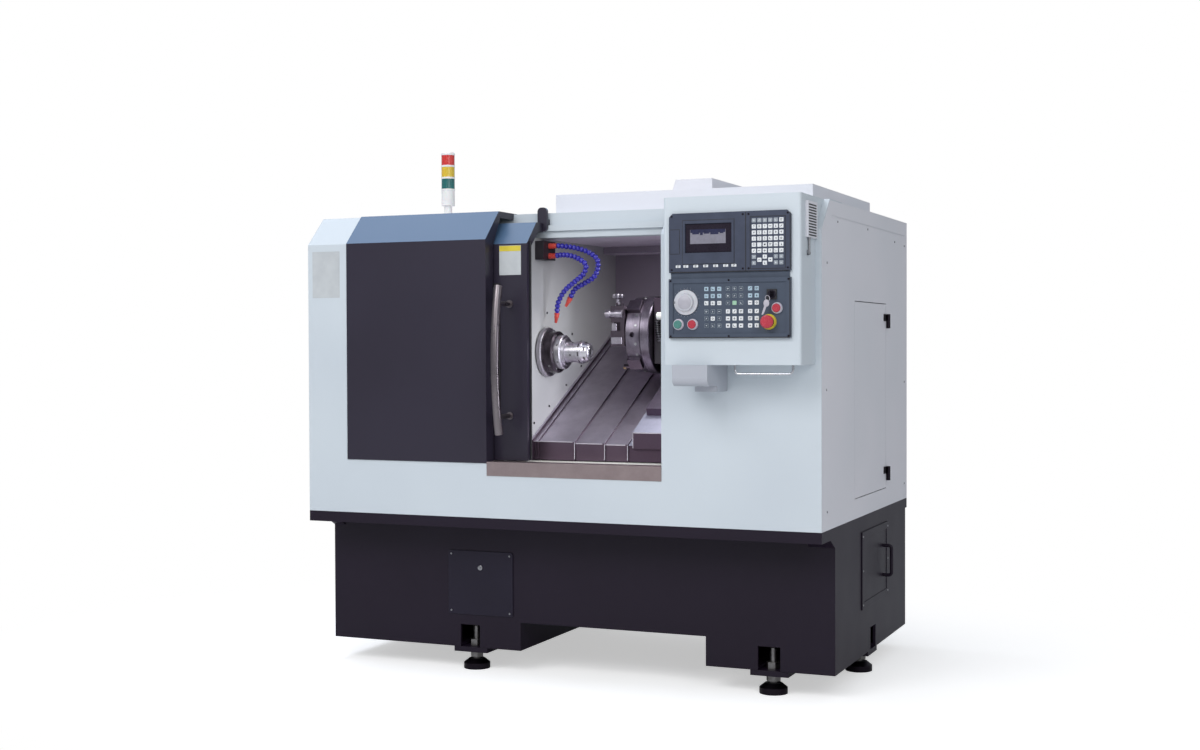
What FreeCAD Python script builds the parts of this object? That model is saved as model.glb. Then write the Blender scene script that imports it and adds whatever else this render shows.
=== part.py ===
import FreeCAD, Part
import math
import os
import re
import Sketcher

# A small slant-bed turning centre with a sheet-metal enclosure on a welded base.
# Millimetres. +X runs to the right along the front, +Y to the back, +Z up, floor at Z 0.
# Every sketch is drawn in the machine's own layout: X from the enclosure's left side, Y from its
# front sheet and Z from the floor. One shared shift then centres the whole machine on the origin.

document = FreeCAD.newDocument("turning_lathe")

# ---------------------------------------------------------------- driving dimensions
SIZES = {
    # enclosure
    "body_width": 1850,
    "body_depth": 1205,
    "front_height": 931,
    "chamfer_run": 99,
    "skin": 3,
    "side_reach": 38,
    "edge_return": 48,
    "roof_seam": 250,
    # welded base
    "base_height": 472,
    "base_wall": 10,
    "lip_height": 36,
    "lip_reach": 160,
    "base_back_inset": 25,
    "gusset_run": 55,
    "gusset_drop": 30,
    "gusset_left": 45,
    "gusset_right": 85,
    "arch_left": 745,
    "pedestal_right": 433,
    "arch_height": 97,
    # levelling feet
    "foot_left": 550,
    "foot_right_inset": 218,
    "foot_inset": 50,
    "foot_middle": 667,
    "foot_gap_width": 75,
    "foot_gap_height": 78,
    "foot_gap_depth": 110,
    "foot_plate_width": 128,
    "foot_plate_length": 96,
    "foot_plate_thick": 18,
    "pad_radius": 46,
    "pad_height": 34,
    "pad_rim": 20,
    "pad_floor": 12,
    "pad_land": 4,
    "bolt_radius": 12,
    "bolt_reach": 68,
    "nut_radius": 24,
    "nut_height": 22,
    "nut_gap": 6,
    "bolt_clearance": 0.3,
    # covers on the base
    "cover_plate": 4,
    "cover_lap": 16,
    "cover_corner": 8,
    "front_cover_middle": 592,
    "front_cover_drop": 247,
    "front_cover_width": 250,
    "front_cover_height": 222,
    "side_cover_middle": 692,
    "side_cover_drop": 185,
    "side_cover_width": 382,
    "side_cover_height": 262,
    "side_cover_rim": 24,
    "side_cover_dish": 2,
    "side_handle_inset": 72,
    "side_handle_length": 104,
    "side_handle_radius": 6,
    "side_handle_bend": 9.6,
    # front opening, fixed cover and sliding door
    "cover_left": 161,
    "opening_width": 625,
    "pier_width": 525,
    "apron_height": 187,
    "sill_height": 45,
    "guard_thick": 2,
    "cover_return": 55,
    "flange_short": 10,
    "cover_flange_drop": 22,
    "door_plane": 58,
    "door_side": 9,
    "door_lap": 29,
    "door_depth": 30,
    "door_fold_drop": 12,
    "door_run": 75,
    "door_flange": 53,
    "door_flange_drop": 31,
    "door_gap": 4,
    "rail_room": 26,
    "lintel_rise": 14,
    "lintel_depth": 63,
    "track_overrun": 40,
    "track_depth": 12,
    "track_lift": 23,
    "track_height": 20,
    "hanger_width": 35,
    "hanger_thick": 12,
    "hanger_lift": 21,
    "hanger_rise": 18,
    "hanger_low_drop": 21,
    "hanger_inset": 14,
    "hanger_overhang": 14,
    "hanger_room": 40,
    "hanger_round": 14,
    "shoe_height": 20,
    "window_left": 95,
    "window_width": 450,
    "window_rise": 191,
    "window_height": 400,
    "window_lap": 14,
    "glass_thick": 8,
    # door handle
    "handle_offset": 66,
    "handle_rise": 96,
    "handle_length": 492,
    "handle_radius": 14,
    "handle_reach": 83,
    "handle_bow": 28,
    "handle_post_inset": 58,
    "handle_post_radius": 8,
    "handle_foot_radius": 13,
    # roof
    "roof_box_inset": 110,
    "roof_box_width": 919,
    "roof_box_front": 300,
    "roof_box_depth": 780,
    "roof_box_height": 70,
    "hood_side": 420,
    "hood_width": 143,
    "hood_inset": 30,
    "hood_depth": 680,
    "hood_rise": 37,
    "hood_lean": 12,
    # signal tower
    "tower_across": 341,
    "tower_back": 400,
    "tower_radius": 24,
    "tower_stem_radius": 14,
    "tower_foot_radius": 30,
    "tower_foot": 6,
    "tower_stem": 58,
    "tower_white": 58,
    "lamp_height": 38,
    "lamp_joint": 5,
    "lamp_groove": 2,
    "tower_cap": 8,
    "tower_post": 7,
    # control housing
    "housing_inset": 20,
    "housing_width": 438,
    "housing_reach": 155,
    "housing_drop": 514,
    "housing_edge": 10,
    "recess_inset": 20,
    "recess_depth": 90,
    "panel_thick": 10,
    "panel_side": 23,
    "panel_width": 386,
    "panel_corner": 12,
    "display_width": 246,
    "display_drop": 51,
    "display_height": 181,
    "panel_gap": 19,
    "strip_inset": 5,
    "strip_thick": 5,
    "operator_height": 181,
    "operator_rim": 13.5,
    "operator_recess": 3,
    "screen_side": 51,
    "screen_width": 152,
    "screen_rise": 58,
    "screen_height": 92,
    "screen_recess": 5,
    "screen_gap": 3,
    "screen_thick": 2,
    "key_thick": 1.5,
    "key_width": 13.5,
    "key_height": 13,
    "pad_key_side": 26,
    "pad_key_inset": 29,
    "pad_key_pitch": 17.1,
    "pad_key_drop": 18.2,
    "soft_key_side": 32,
    "soft_key_rise": 19,
    "soft_key_pitch": 29.8,
    "soft_key_width": 16,
    "soft_key_height": 8,
    "function_key_side": 121,
    "function_key_inset": 32,
    "function_key_pitch": 20.7,
    "function_key_drop": 21.5,
    "function_group_second": 69,
    "function_group_third": 139,
    "function_rows_gap": 4,
    # hand controls
    "control_gap": 0.5,
    "stem_radius": 8,
    "stem_reach": 12,
    "edge_break": 2,
    "dial_side": 56,
    "dial_rise": 109,
    "dial_radius": 38,
    "dial_rim": 5,
    "dial_step": 3,
    "dial_shoulder": 7,
    "dial_height": 16,
    "dial_knob_radius": 25,
    "dimple_offset": 14,
    "dimple_radius": 5,
    "dimple_depth": 4,
    "button_radius": 13,
    "button_travel": 4,
    "button_height": 9,
    "green_side": 31,
    "red_side": 77,
    "start_rise": 42,
    "off_inset": 42,
    "off_rise": 89,
    "key_inset": 58,
    "key_rise": 130,
    "key_collar_rim": 5,
    "key_collar_height": 5,
    "key_blade": 3,
    "key_bow": 18,
    "key_reach": 26,
    "stop_inset": 67,
    "stop_rise": 48,
    "stop_radius": 20,
    "stop_skirt": 14,
    "stop_crown": 15,
    "stop_height": 30,
    "stop_travel": 5,
    "stop_neck": 4,
    "stop_edge": 5,
    "stop_band": 4,
    # below the housing
    "service_side": 41,
    "service_width": 114,
    "service_reach": 190,
    "service_drop": 65,
    "service_round": 26,
    "gland_side": 42,
    "gland_drop": 18,
    "gland_reach": 100,
    "rail_side": 223,
    "rail_width": 183,
    "rail_drop": 27,
    "rail_front": 130,
    "rail_radius": 4,
    "rail_bend": 14,
    "louvre_front": 107,
    "louvre_back": 5,
    "louvre_drop": 130,
    "louvre_height": 110,
    "louvre_thick": 9,
    "louvre_rim": 5,
    "louvre_count": 12,
    "louvre_open": 0.55,
    # right side
    "seam_rise": 46,
    "seam_front": 123,
    "side_edge": 45,
    "side_slot": 4,
    "access_front": 411,
    "access_width": 452,
    "access_rise": 65,
    "access_height": 656,
    "access_gap": 2.5,
    "hinge_inset_top": 62,
    "hinge_inset_bottom": 53,
    "hinge_height": 50,
    "hinge_radius": 7,
    "hinge_pin_radius": 3,
    "hinge_leaf": 3,
    "hinge_leaf_length": 38,
    "hinge_stand": 1,
    "hinge_setback": 4,
    "hinge_lap": 2,
    # working space
    "wall_inset": 100,
    "wall_front": 96,
    "wall_hole_gap": 12,
    "cabin_inset": 105,
    "cabin_back": 887,
    "liner_rise": 230,
    "duct_depth": 117,
    "duct_drop": 25,
    "slant_angle": 27,
    "skirt_height": 64,
    "skirt_gap": 3,
    "cover_front": 140,
    "cover_sheet": 2.5,
    "cover_step": 4,
    "cover_back_gap": 12.8,
    "cover_one_width": 161,
    "cover_two_lead": 50,
    "cover_two_width": 219,
    "cover_three_lead": 130,
    "cover_three_width": 220,
    "tongue_lead": 260,
    "wiper_width": 9,
    "wiper_height": 2,
    "gutter_width": 26,
    "gutter_height": 12,
    "gutter_step": 4,
    "gutter_web": 9,
    # bed, saddle and slide
    "bed_overhang": 500,
    "bed_inset": 35,
    "bed_depth": 44,
    "bed_short": 44,
    "way_height": 16,
    "way_width": 70,
    "way_lower": 110,
    "way_upper": 560,
    "slide_gap": 0.3,
    "saddle_lead": 370,
    "saddle_width": 300,
    "saddle_top": 34,
    "saddle_nose": 55,
    "saddle_short": 34,
    "saddle_heel": 40,
    "slide_lower": 130,
    "slide_upper": 690,
    "slide_thick": 27,
    "slide_side": 12,
    # spindle and collet chuck
    "spindle_back": 250,
    "spindle_rise": 303,
    "spindle_radius": 50,
    "spindle_reach": 473,
    "bearing_clearance": 0.05,
    "headstock_length": 420,
    "headstock_near": 100,
    "headstock_far": 170,
    "headstock_over": 156,
    "headstock_drop": 300,
    "headstock_gap": 4,
    "edge_bevel": 3,
    "flange_radius": 85,
    "flange_gap": 3,
    "flange_thick": 18,
    "chuck_radius": 72,
    "chuck_thick": 37,
    "chuck_bevel": 5,
    "nose_ring_radius": 59,
    "nose_ring_thick": 22,
    "nose_neck_radius": 47,
    "nose_neck_thick": 8,
    "nose_radius": 35,
    "nose_length": 42,
    "nose_collar_radius": 39,
    "nose_collar_thick": 18,
    "nose_tip": 20,
    "nose_taper": 4,
    "drawbar_wall": 4,
    "collet_radius": 24,
    "collet_bore": 12,
    "collet_depth": 62,
    "collet_proud": 3,
    "collet_bevel": 2,
    "collet_slit": 1.6,
    "collet_slit_depth": 37,
    # turret
    "turret_lead": 256,
    "turret_back": 480,
    "turret_clear": 188.76,
    "turret_radius": 132,
    "turret_thick": 56,
    "turret_edge": 4,
    "turret_groove": 2,
    "turret_ring_radius": 136,
    "turret_ring_thick": 34,
    "turret_stub": 50,
    "turret_stations": 8,
    "turret_bore": 30,
    "turret_gap": 4,
    "socket_radius": 9,
    "socket_depth": 26,
    "bearing_depth": 60,
    "turret_body_width": 205,
    "turret_body_near": 88,
    "turret_body_far": 130,
    "turret_body_over": 127,
    "turret_body_under": 70,
    "turret_body_slope": 60,
    "tool_block_width": 46,
    "tool_block_height": 17,
    "tool_block_inset": 4,
    "tool_block_seat": 2,
    "holder_gap": 0.02,
    "tool_shank": 10,
    "tool_length": 26,
    "tool_reach": 18,
    "tool_drop": 3,
    "boring_block_reach": 51,
    "boring_block_width": 50,
    "boring_block_height": 140,
    "boring_block_drop": 40,
    "boring_bar_side": 24,
    "boring_bar_rise": 75,
    "boring_bar_reach": 22,
    "boring_bar_radius": 9,
    "boring_sleeve_wall": 6,
    "boring_notch": 30,
    "boring_notch_rise": 14,
    "boring_plate": 15,
    "clamp_screw_radius": 4,
    "clamp_screw_length": 12,
    "clamp_screw_inset": 14,
    "clamp_screw_pitch": 22,
    # coolant
    "manifold_inset": 76,
    "manifold_depth": 96,
    "manifold_drop": 75,
    "manifold_height": 64,
    "manifold_thick": 32,
    "hose_upper_drop": 16,
    "hose_lower_drop": 50,
    "hose_span": 172,
    "hose_lead": 60,
    "hose_radius": 10.5,
    "hose_neck": 7.5,
    "hose_segment": 11,
    "nozzle_length": 34,
    "nozzle_clearance": 0.1,
    "nozzle_radius": 8.5,
    "nozzle_tip": 3.5,
}

# Places that follow from the driving dimensions, each written out in them or in places above it.
PLACES = {
    "base_bottom": "pad_height + nut_gap + nut_height + foot_plate_thick",
    "bolt_top": "base_bottom + bolt_reach",
    "body_bottom": "base_bottom + base_height",
    "fold_height": "body_bottom + front_height",
    "roof_height": "fold_height + chamfer_run",
    "fold_lean": "skin * tan(22.5 * 1 deg)",
    "arch_right": "body_width - pedestal_right",
    "foot_right": "body_width - foot_right_inset",
    "front_cover_level": "body_bottom - front_cover_drop",
    "side_cover_level": "body_bottom - side_cover_drop",
    "sill_top": "body_bottom + apron_height",
    "opening_right": "body_width - pier_width",
    "opening_left": "opening_right - opening_width",
    "cover_flange_end": "roof_seam - flange_short",
    "door_left": "cover_left + door_side",
    "door_width": "opening_width + door_lap",
    "door_fold": "fold_height - door_fold_drop",
    "door_flange_end": "door_plane + door_run + door_flange",
    "lintel_plane": "door_flange_end + rail_room",
    "lintel_bottom": "fold_height + lintel_rise",
    "lintel_back": "lintel_plane + lintel_depth",
    "track_end": "opening_right + track_overrun",
    "track_level": "lintel_bottom + track_lift",
    "hanger_bottom": "lintel_bottom + hanger_lift",
    "hanger_top": "roof_height + hanger_rise",
    "hanger_low_top": "roof_height - hanger_low_drop",
    "window_right": "window_left + window_width",
    "window_bottom": "sill_top + window_rise",
    "window_top": "window_bottom + window_height",
    "handle_bottom": "sill_top + handle_rise",
    "handle_top": "handle_bottom + handle_length",
    "roof_box_right": "body_width - roof_box_inset",
    "roof_box_left": "roof_box_right - roof_box_width",
    "roof_box_back": "roof_box_front + roof_box_depth",
    "hood_left": "roof_box_left + hood_side",
    "hood_right": "hood_left + hood_width",
    "hood_front": "roof_box_front + hood_inset",
    "hood_back": "hood_front + hood_depth",
    "housing_right": "body_width - housing_inset",
    "housing_left": "housing_right - housing_width",
    "housing_bottom": "roof_height - housing_drop",
    "panel_left": "housing_left + panel_side",
    "panel_right": "panel_left + panel_width",
    "panel_split": "panel_left + display_width",
    "display_top": "roof_height - display_drop",
    "display_bottom": "display_top - display_height",
    "operator_top": "display_bottom - panel_gap",
    "operator_bottom": "operator_top - operator_height",
    "screen_left": "panel_left + screen_side",
    "screen_right": "screen_left + screen_width",
    "screen_bottom": "display_bottom + screen_rise",
    "screen_top": "screen_bottom + screen_height",
    "pad_key_left": "panel_split + pad_key_side",
    "pad_key_top": "display_top - pad_key_inset",
    "soft_key_left": "panel_left + soft_key_side",
    "soft_key_level": "display_bottom + soft_key_rise",
    "function_key_left": "panel_left + function_key_side",
    "function_key_top": "operator_top - function_key_inset",
    "stem_hole": "stem_radius + control_gap",
    "dial_across": "panel_left + dial_side",
    "dial_level": "operator_bottom + dial_rise",
    "green_across": "panel_left + green_side",
    "red_across": "panel_left + red_side",
    "start_level": "operator_bottom + start_rise",
    "off_across": "panel_right - off_inset",
    "off_level": "operator_bottom + off_rise",
    "key_across": "panel_right - key_inset",
    "key_level": "operator_bottom + key_rise",
    "stop_across": "panel_right - stop_inset",
    "stop_level": "operator_bottom + stop_rise",
    "service_left": "housing_left + service_side",
    "service_right": "service_left + service_width",
    "service_bottom": "housing_bottom - service_drop",
    "gland_left": "service_left + gland_side",
    "rail_left": "housing_left + rail_side",
    "rail_right": "rail_left + rail_width",
    "louvre_bottom": "roof_height - louvre_drop",
    "louvre_top": "louvre_bottom + louvre_height",
    "side_seam": "fold_height + seam_rise",
    "access_back": "access_front + access_width",
    "access_bottom": "body_bottom + access_rise",
    "access_top": "access_bottom + access_height",
    "hinge_upper": "access_top - hinge_inset_top",
    "hinge_lower": "access_bottom + hinge_inset_bottom",
    "slope": "slant_angle * 1 deg",
    "wall_plane": "opening_left + wall_inset",
    "cabin_right": "body_width - cabin_inset",
    "duct_front": "cabin_back - duct_depth",
    "duct_bottom": "lintel_bottom - duct_drop",
    "cover_low": "sill_top + skirt_height",
    "cover_reach": "(cabin_back - cover_front - cover_back_gap) / cos(slope)",
    "cover_one_end": "wall_plane + cover_one_width",
    "cover_two_start": "wall_plane + cover_two_lead",
    "cover_two_end": "cover_two_start + cover_two_width",
    "cover_three_start": "wall_plane + cover_three_lead",
    "cover_three_end": "cover_three_start + cover_three_width",
    "tongue_start": "wall_plane + tongue_lead",
    "bed_left": "wall_plane - bed_overhang",
    "bed_front": "cover_front + bed_inset",
    "bed_reach": "cover_reach - bed_short",
    "saddle_left": "wall_plane + saddle_lead",
    "saddle_reach": "cover_reach - saddle_short",
    "spindle_level": "cover_low + spindle_rise",
    "drawbar_bore": "collet_bore + drawbar_wall",
    "collet_seat": "collet_radius + bolt_clearance",
    "headstock_left": "wall_plane - headstock_length",
    "headstock_front": "spindle_back - headstock_near",
    "headstock_back": "spindle_back + headstock_far",
    "headstock_top": "spindle_level + headstock_over",
    "turret_left": "wall_plane + turret_lead",
    "turret_level": "cover_low + (turret_back - cover_front) * tan(slope) + turret_clear",
    "turret_body_front": "turret_back - turret_body_near",
    "turret_body_back": "turret_back + turret_body_far",
    "turret_body_top": "turret_level + turret_body_over",
    "manifold_front": "wall_front + manifold_inset",
    "manifold_back": "manifold_front + manifold_depth",
    "manifold_bottom": "lintel_bottom - manifold_drop",
    "manifold_top": "manifold_bottom + manifold_height",
    "hose_room": "manifold_top - spindle_level - chuck_radius - nozzle_length",
}

sheet = document.addObject("Spreadsheet::Sheet", "Size")
for row, (name, number) in enumerate(SIZES.items(), start=1):
    sheet.set("A%d" % row, name)
    sheet.set("B%d" % row, str(number))
    sheet.setAlias("B%d" % row, name)
document.recompute()


def spelled_out(text):
    """An expression with every place in it written out, down to the driving dimensions."""
    return re.sub(r"[a-z_]+", lambda word: "(%s)" % spelled_out(PLACES[word.group(0)]) if word.group(0) in PLACES
                  else word.group(0), text)


def bound(text):
    """An expression on the sheet: every driving dimension gets the sheet's own prefix."""
    return re.sub(r"[a-z_]+", lambda word: "Size." + word.group(0) if word.group(0) in SIZES
                  else word.group(0), spelled_out(text))


def amount(text):
    """The present value of such an expression, in millimetres."""
    result = sheet.evalExpression(bound(text))
    return float(getattr(result, "Value", result))


def tie(thing, field, text):
    thing.setExpression(field, bound(text))


# The shift from the machine's layout to the origin under the middle of its outline.
LEFT = "(-(body_width + side_reach) / 2)"
FRONT = "(-(body_depth - housing_reach - panel_thick - stop_height) / 2)"

SUBPARTS = []


def place(thing, label, across="0", back="0", up="0"):
    """Names a sub-part and puts it into the machine, shifted as the whole machine is."""
    thing.Label = label
    tie(thing, "Placement.Base.x", "%s + %s" % (LEFT, across))
    tie(thing, "Placement.Base.y", "%s + %s" % (FRONT, back))
    tie(thing, "Placement.Base.z", up)
    SUBPARTS.append(thing)
    return thing


def new_body(label, across="0", back="0", up="0"):
    body = document.addObject("PartDesign::Body", label)
    return place(body, label, across, back, up)


# ---------------------------------------------------------------- sketches and features
NORMALS = {"XY_Plane": 1, "YZ_Plane": 1, "XZ_Plane": -1}


def new_sketch(body, plane, level):
    """An empty sketch on one of the body's own planes, moved to a level along that plane's axis."""
    sketch = body.newObject("Sketcher::SketchObject", "outline")
    support = [feature for feature in body.Origin.OriginFeatures if feature.Role == plane][0]
    sketch.AttachmentSupport = (support, "")
    sketch.MapMode = "FlatFace"
    tie(sketch, "AttachmentOffset.Base.z", "(%s) * %d" % (level, NORMALS[plane]))
    return sketch


def pin_point(sketch, line, corner, point):
    """Fixes a point of the sketch at a pair of expressions."""
    for kind, text in (("DistanceX", point[0]), ("DistanceY", point[1])):
        index = sketch.addConstraint(Sketcher.Constraint(kind, -1, 1, line, corner, amount(text)))
        tie(sketch, "Constraints[%d]" % index, text)


def draw_polygon(sketch, points):
    first = sketch.GeometryCount
    count = len(points)
    corners = [FreeCAD.Vector(amount(point[0]), amount(point[1]), 0) for point in points]
    for index in range(count):
        sketch.addGeometry(Part.LineSegment(corners[index], corners[(index + 1) % count]), False)
    for index in range(count):
        following = first + (index + 1) % count
        sketch.addConstraint(Sketcher.Constraint("Coincident", first + index, 2, following, 1))
    for index in range(count):
        pin_point(sketch, first + index, 1, points[index])


def draw_circle(sketch, centre, radius):
    middle = FreeCAD.Vector(amount(centre[0]), amount(centre[1]), 0)
    circle = sketch.addGeometry(Part.Circle(middle, FreeCAD.Vector(0, 0, 1), amount(radius)), False)
    pin_point(sketch, circle, 3, centre)
    index = sketch.addConstraint(Sketcher.Constraint("Radius", circle, amount(radius)))
    tie(sketch, "Constraints[%d]" % index, radius)


def rectangle(low_x, low_y, high_x, high_y):
    return [(low_x, low_y), (high_x, low_y), (high_x, high_y), (low_x, high_y)]


def draw(body, plane, level, shapes):
    sketch = new_sketch(body, plane, level)
    for shape in shapes:
        if isinstance(shape, tuple):
            draw_circle(sketch, shape[:2], shape[2])
        else:
            draw_polygon(sketch, shape)
    return sketch


def pad(body, plane, shapes, low, high):
    """Adds material between two levels of the plane's axis. A shape is a polygon or a circle tuple."""
    feature = body.newObject("PartDesign::Pad", "pad")
    feature.Profile = draw(body, plane, low, shapes)
    feature.Reversed = NORMALS[plane] < 0
    tie(feature, "Length", "(%s) - (%s)" % (high, low))
    document.recompute()
    return feature


def cut(body, plane, shapes, low, high):
    """Removes material between two levels, and stops if nothing was removed."""
    before = body.Shape.Volume
    feature = body.newObject("PartDesign::Pocket", "pocket")
    feature.Profile = draw(body, plane, low, shapes)
    feature.Reversed = NORMALS[plane] > 0
    tie(feature, "Length", "(%s) - (%s)" % (high, low))
    document.recompute()
    if body.Shape.Volume > before - 0.001:
        raise RuntimeError("A pocket in %s removed nothing" % body.Label)
    return feature


def turn(body, points, axis):
    """A turned piece: axis X is drawn as (along, radius), Y as (radius, along), Z as (radius, up)."""
    plane = "XZ_Plane" if axis == "Z" else "XY_Plane"
    feature = body.newObject("PartDesign::Revolution", "turned")
    sketch = draw(body, plane, "0", [points])
    feature.Profile = sketch
    feature.ReferenceAxis = (sketch, ["H_Axis" if axis == "X" else "V_Axis"])
    feature.Angle = 360
    document.recompute()
    return feature


def soften(body, kind, radius, chosen):
    """Rounds or bevels the edges that a test picks by their middle point and direction."""
    base = body.Tip
    names = []
    for index, edge in enumerate(base.Shape.Edges, start=1):
        middle = edge.valueAt((edge.FirstParameter + edge.LastParameter) / 2)
        ends = edge.Vertexes
        along = ends[-1].Point - ends[0].Point
        if chosen(middle, along):
            names.append("Edge%d" % index)
    if not names:
        raise RuntimeError("No edge to soften on %s" % body.Label)
    feature = body.newObject("PartDesign::" + kind, kind.lower())
    feature.Base = (base, names)
    tie(feature, "Radius" if kind == "Fillet" else "Size", radius)
    document.recompute()
    return feature


def made(label, shape):
    """A sub-part whose form is set here from the sheet's values, in the machine's layout."""
    thing = document.addObject("Part::Feature", label)
    thing.Shape = shape
    return place(thing, label)


def vector(x, y, z):
    return FreeCAD.Vector(x, y, z)


def disc(centre, normal, radius):
    return Part.Face(Part.Wire([Part.Circle(centre, normal, radius).toShape()]))


def rod(points, bend, radius):
    """A round rod of straight runs, with an arc of one bend radius at each corner between them."""
    pieces = []
    start = points[0]
    for corner, following in zip(points[1:-1], points[2:]):
        into = (corner - start).normalize()
        out = (following - corner).normalize()
        turned = into.getAngle(out)
        setback = bend * math.tan(turned / 2)
        arc_start = corner - into * setback
        pieces.append(disc(start, into, radius).extrude(arc_start - start))
        centre = arc_start + (out - into * out.dot(into)).normalize() * bend
        pieces.append(disc(arc_start, into, radius).revolve(centre, into.cross(out), math.degrees(turned)))
        start = corner + out * setback
    last = points[-1] - start
    pieces.append(disc(start, vector(last.x, last.y, last.z).normalize(), radius).extrude(last))
    return pieces[0].fuse(pieces[1:]).removeSplitter()


def folded(points, thick):
    """The closed outline of a bent sheet: the outer line and the same line moved inwards."""
    return points + list(reversed(thick))


# ---------------------------------------------------------------- welded base
def base_frame():
    body = new_body("base_frame")
    back = "body_depth - base_back_inset"
    pedestals = [("0", "base_bottom"), ("arch_left", "base_bottom"), ("arch_left", "base_bottom + arch_height"),
                 ("arch_right", "base_bottom + arch_height"), ("arch_right", "base_bottom"),
                 ("body_width", "base_bottom"), ("body_width", "body_bottom"), ("0", "body_bottom")]
    pad(body, "XZ_Plane", [pedestals], "lip_reach", back)
    lip = rectangle("0", "body_bottom - lip_height", "body_width", "body_bottom")
    pad(body, "XZ_Plane", [lip], "0", "body_depth")
    gusset = [("lip_reach - gusset_run", "body_bottom - lip_height"), ("lip_reach", "body_bottom - lip_height"),
              ("lip_reach", "body_bottom - lip_height - gusset_drop")]
    pad(body, "YZ_Plane", [gusset], "0", "gusset_left")
    pad(body, "YZ_Plane", [gusset], "body_width - gusset_right", "body_width")
    # one tank space runs through both pedestals, behind the walls
    arch_top = "base_bottom + arch_height + base_wall"
    floor = "base_bottom + base_wall"
    ceiling = "body_bottom - lip_height"
    hollow = [("base_wall", floor), ("arch_left - base_wall", floor), ("arch_left - base_wall", arch_top),
              ("arch_right + base_wall", arch_top), ("arch_right + base_wall", floor),
              ("body_width - base_wall", floor), ("body_width - base_wall", ceiling), ("base_wall", ceiling)]
    cut(body, "XZ_Plane", [hollow], "lip_reach + base_wall", back + " - base_wall")
    # openings behind the two screwed covers
    front_hole = rectangle("front_cover_middle - front_cover_width / 2 + cover_lap",
                           "front_cover_level - front_cover_height / 2 + cover_lap",
                           "front_cover_middle + front_cover_width / 2 - cover_lap",
                           "front_cover_level + front_cover_height / 2 - cover_lap")
    cut(body, "XZ_Plane", [front_hole], "lip_reach - 1", "lip_reach + base_wall + 1")
    side_hole = rectangle("side_cover_middle - side_cover_width / 2 + cover_lap",
                          "side_cover_level - side_cover_height / 2 + cover_lap",
                          "side_cover_middle + side_cover_width / 2 - cover_lap",
                          "side_cover_level + side_cover_height / 2 - cover_lap")
    cut(body, "YZ_Plane", [side_hole], "body_width - base_wall - 1", "body_width + 1")
    # a gap in the wall and the floor over each levelling foot
    for across, level, depth_way in feet():
        if depth_way == "side":
            wide, deep = "foot_gap_depth / 2", "foot_gap_width / 2"
        else:
            wide, deep = "foot_gap_width / 2", "foot_gap_depth / 2"
        gap = rectangle(across + " - " + wide, level + " - " + deep, across + " + " + wide, level + " + " + deep)
        cut(body, "XY_Plane", [gap], "base_bottom - 1", "base_bottom + foot_gap_height")
    # the plates under those gaps carry the levelling bolts
    for across, level, depth_way in feet():
        if depth_way == "side":
            wide, deep = "foot_plate_length / 2", "foot_plate_width / 2"
        else:
            wide, deep = "foot_plate_width / 2", "foot_plate_length / 2"
        plate = rectangle(across + " - " + wide, level + " - " + deep, across + " + " + wide, level + " + " + deep)
        hole = (across, level, "bolt_radius + bolt_clearance")
        pad(body, "XY_Plane", [plate, hole], "base_bottom - foot_plate_thick", "base_bottom")


def feet():
    """The middle of each levelling foot, and whether its gap opens to the front, the back or a side."""
    near = "(lip_reach + foot_inset)"
    far = "(body_depth - base_back_inset - foot_inset)"
    return [("foot_left", near, "front"), ("foot_right", near, "front"),
            ("foot_inset", "foot_middle", "side"), ("(body_width - foot_inset)", "foot_middle", "side"),
            ("foot_left", far, "back"), ("foot_right", far, "back")]


def levelling_feet():
    pad_profile = [vector(0, 0, 0), vector(amount("pad_radius"), 0, 0),
                   vector(amount("pad_radius"), 0, amount("pad_rim")),
                   vector(amount("nut_radius + pad_land"), 0, amount("pad_height")),
                   vector(amount("bolt_radius + bolt_clearance"), 0, amount("pad_height")),
                   vector(amount("bolt_radius + bolt_clearance"), 0, amount("pad_floor")),
                   vector(0, 0, amount("pad_floor")), vector(0, 0, 0)]
    pad_solid = Part.Face(Part.makePolygon(pad_profile)).revolve(vector(0, 0, 0), vector(0, 0, 1), 360)
    plate_bottom = amount("base_bottom - foot_plate_thick")
    thread = Part.makeCylinder(amount("bolt_radius"), amount("bolt_top - pad_floor"),
                               vector(0, 0, amount("pad_floor")))
    lower_nut = hexagon(amount("nut_radius"), plate_bottom - amount("nut_height"), amount("nut_height"))
    upper_nut = hexagon(amount("nut_radius"), amount("base_bottom"), amount("nut_height"))
    bolt_solid = thread.fuse([lower_nut, upper_nut]).removeSplitter()
    spots = [vector(amount(across), amount(level), 0) for across, level, way in feet()]
    made("leveling_pads", Part.makeCompound([moved(pad_solid, spot) for spot in spots]))
    made("leveling_bolts", Part.makeCompound([moved(bolt_solid, spot) for spot in spots]))


def hexagon(radius, bottom, height):
    corners = [vector(radius * math.cos(math.radians(60 * index)), radius * math.sin(math.radians(60 * index)),
                      bottom) for index in range(7)]
    return Part.Face(Part.makePolygon(corners)).extrude(vector(0, 0, height))


def moved(shape, offset):
    copy = shape.copy()
    copy.translate(offset)
    return copy


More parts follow.
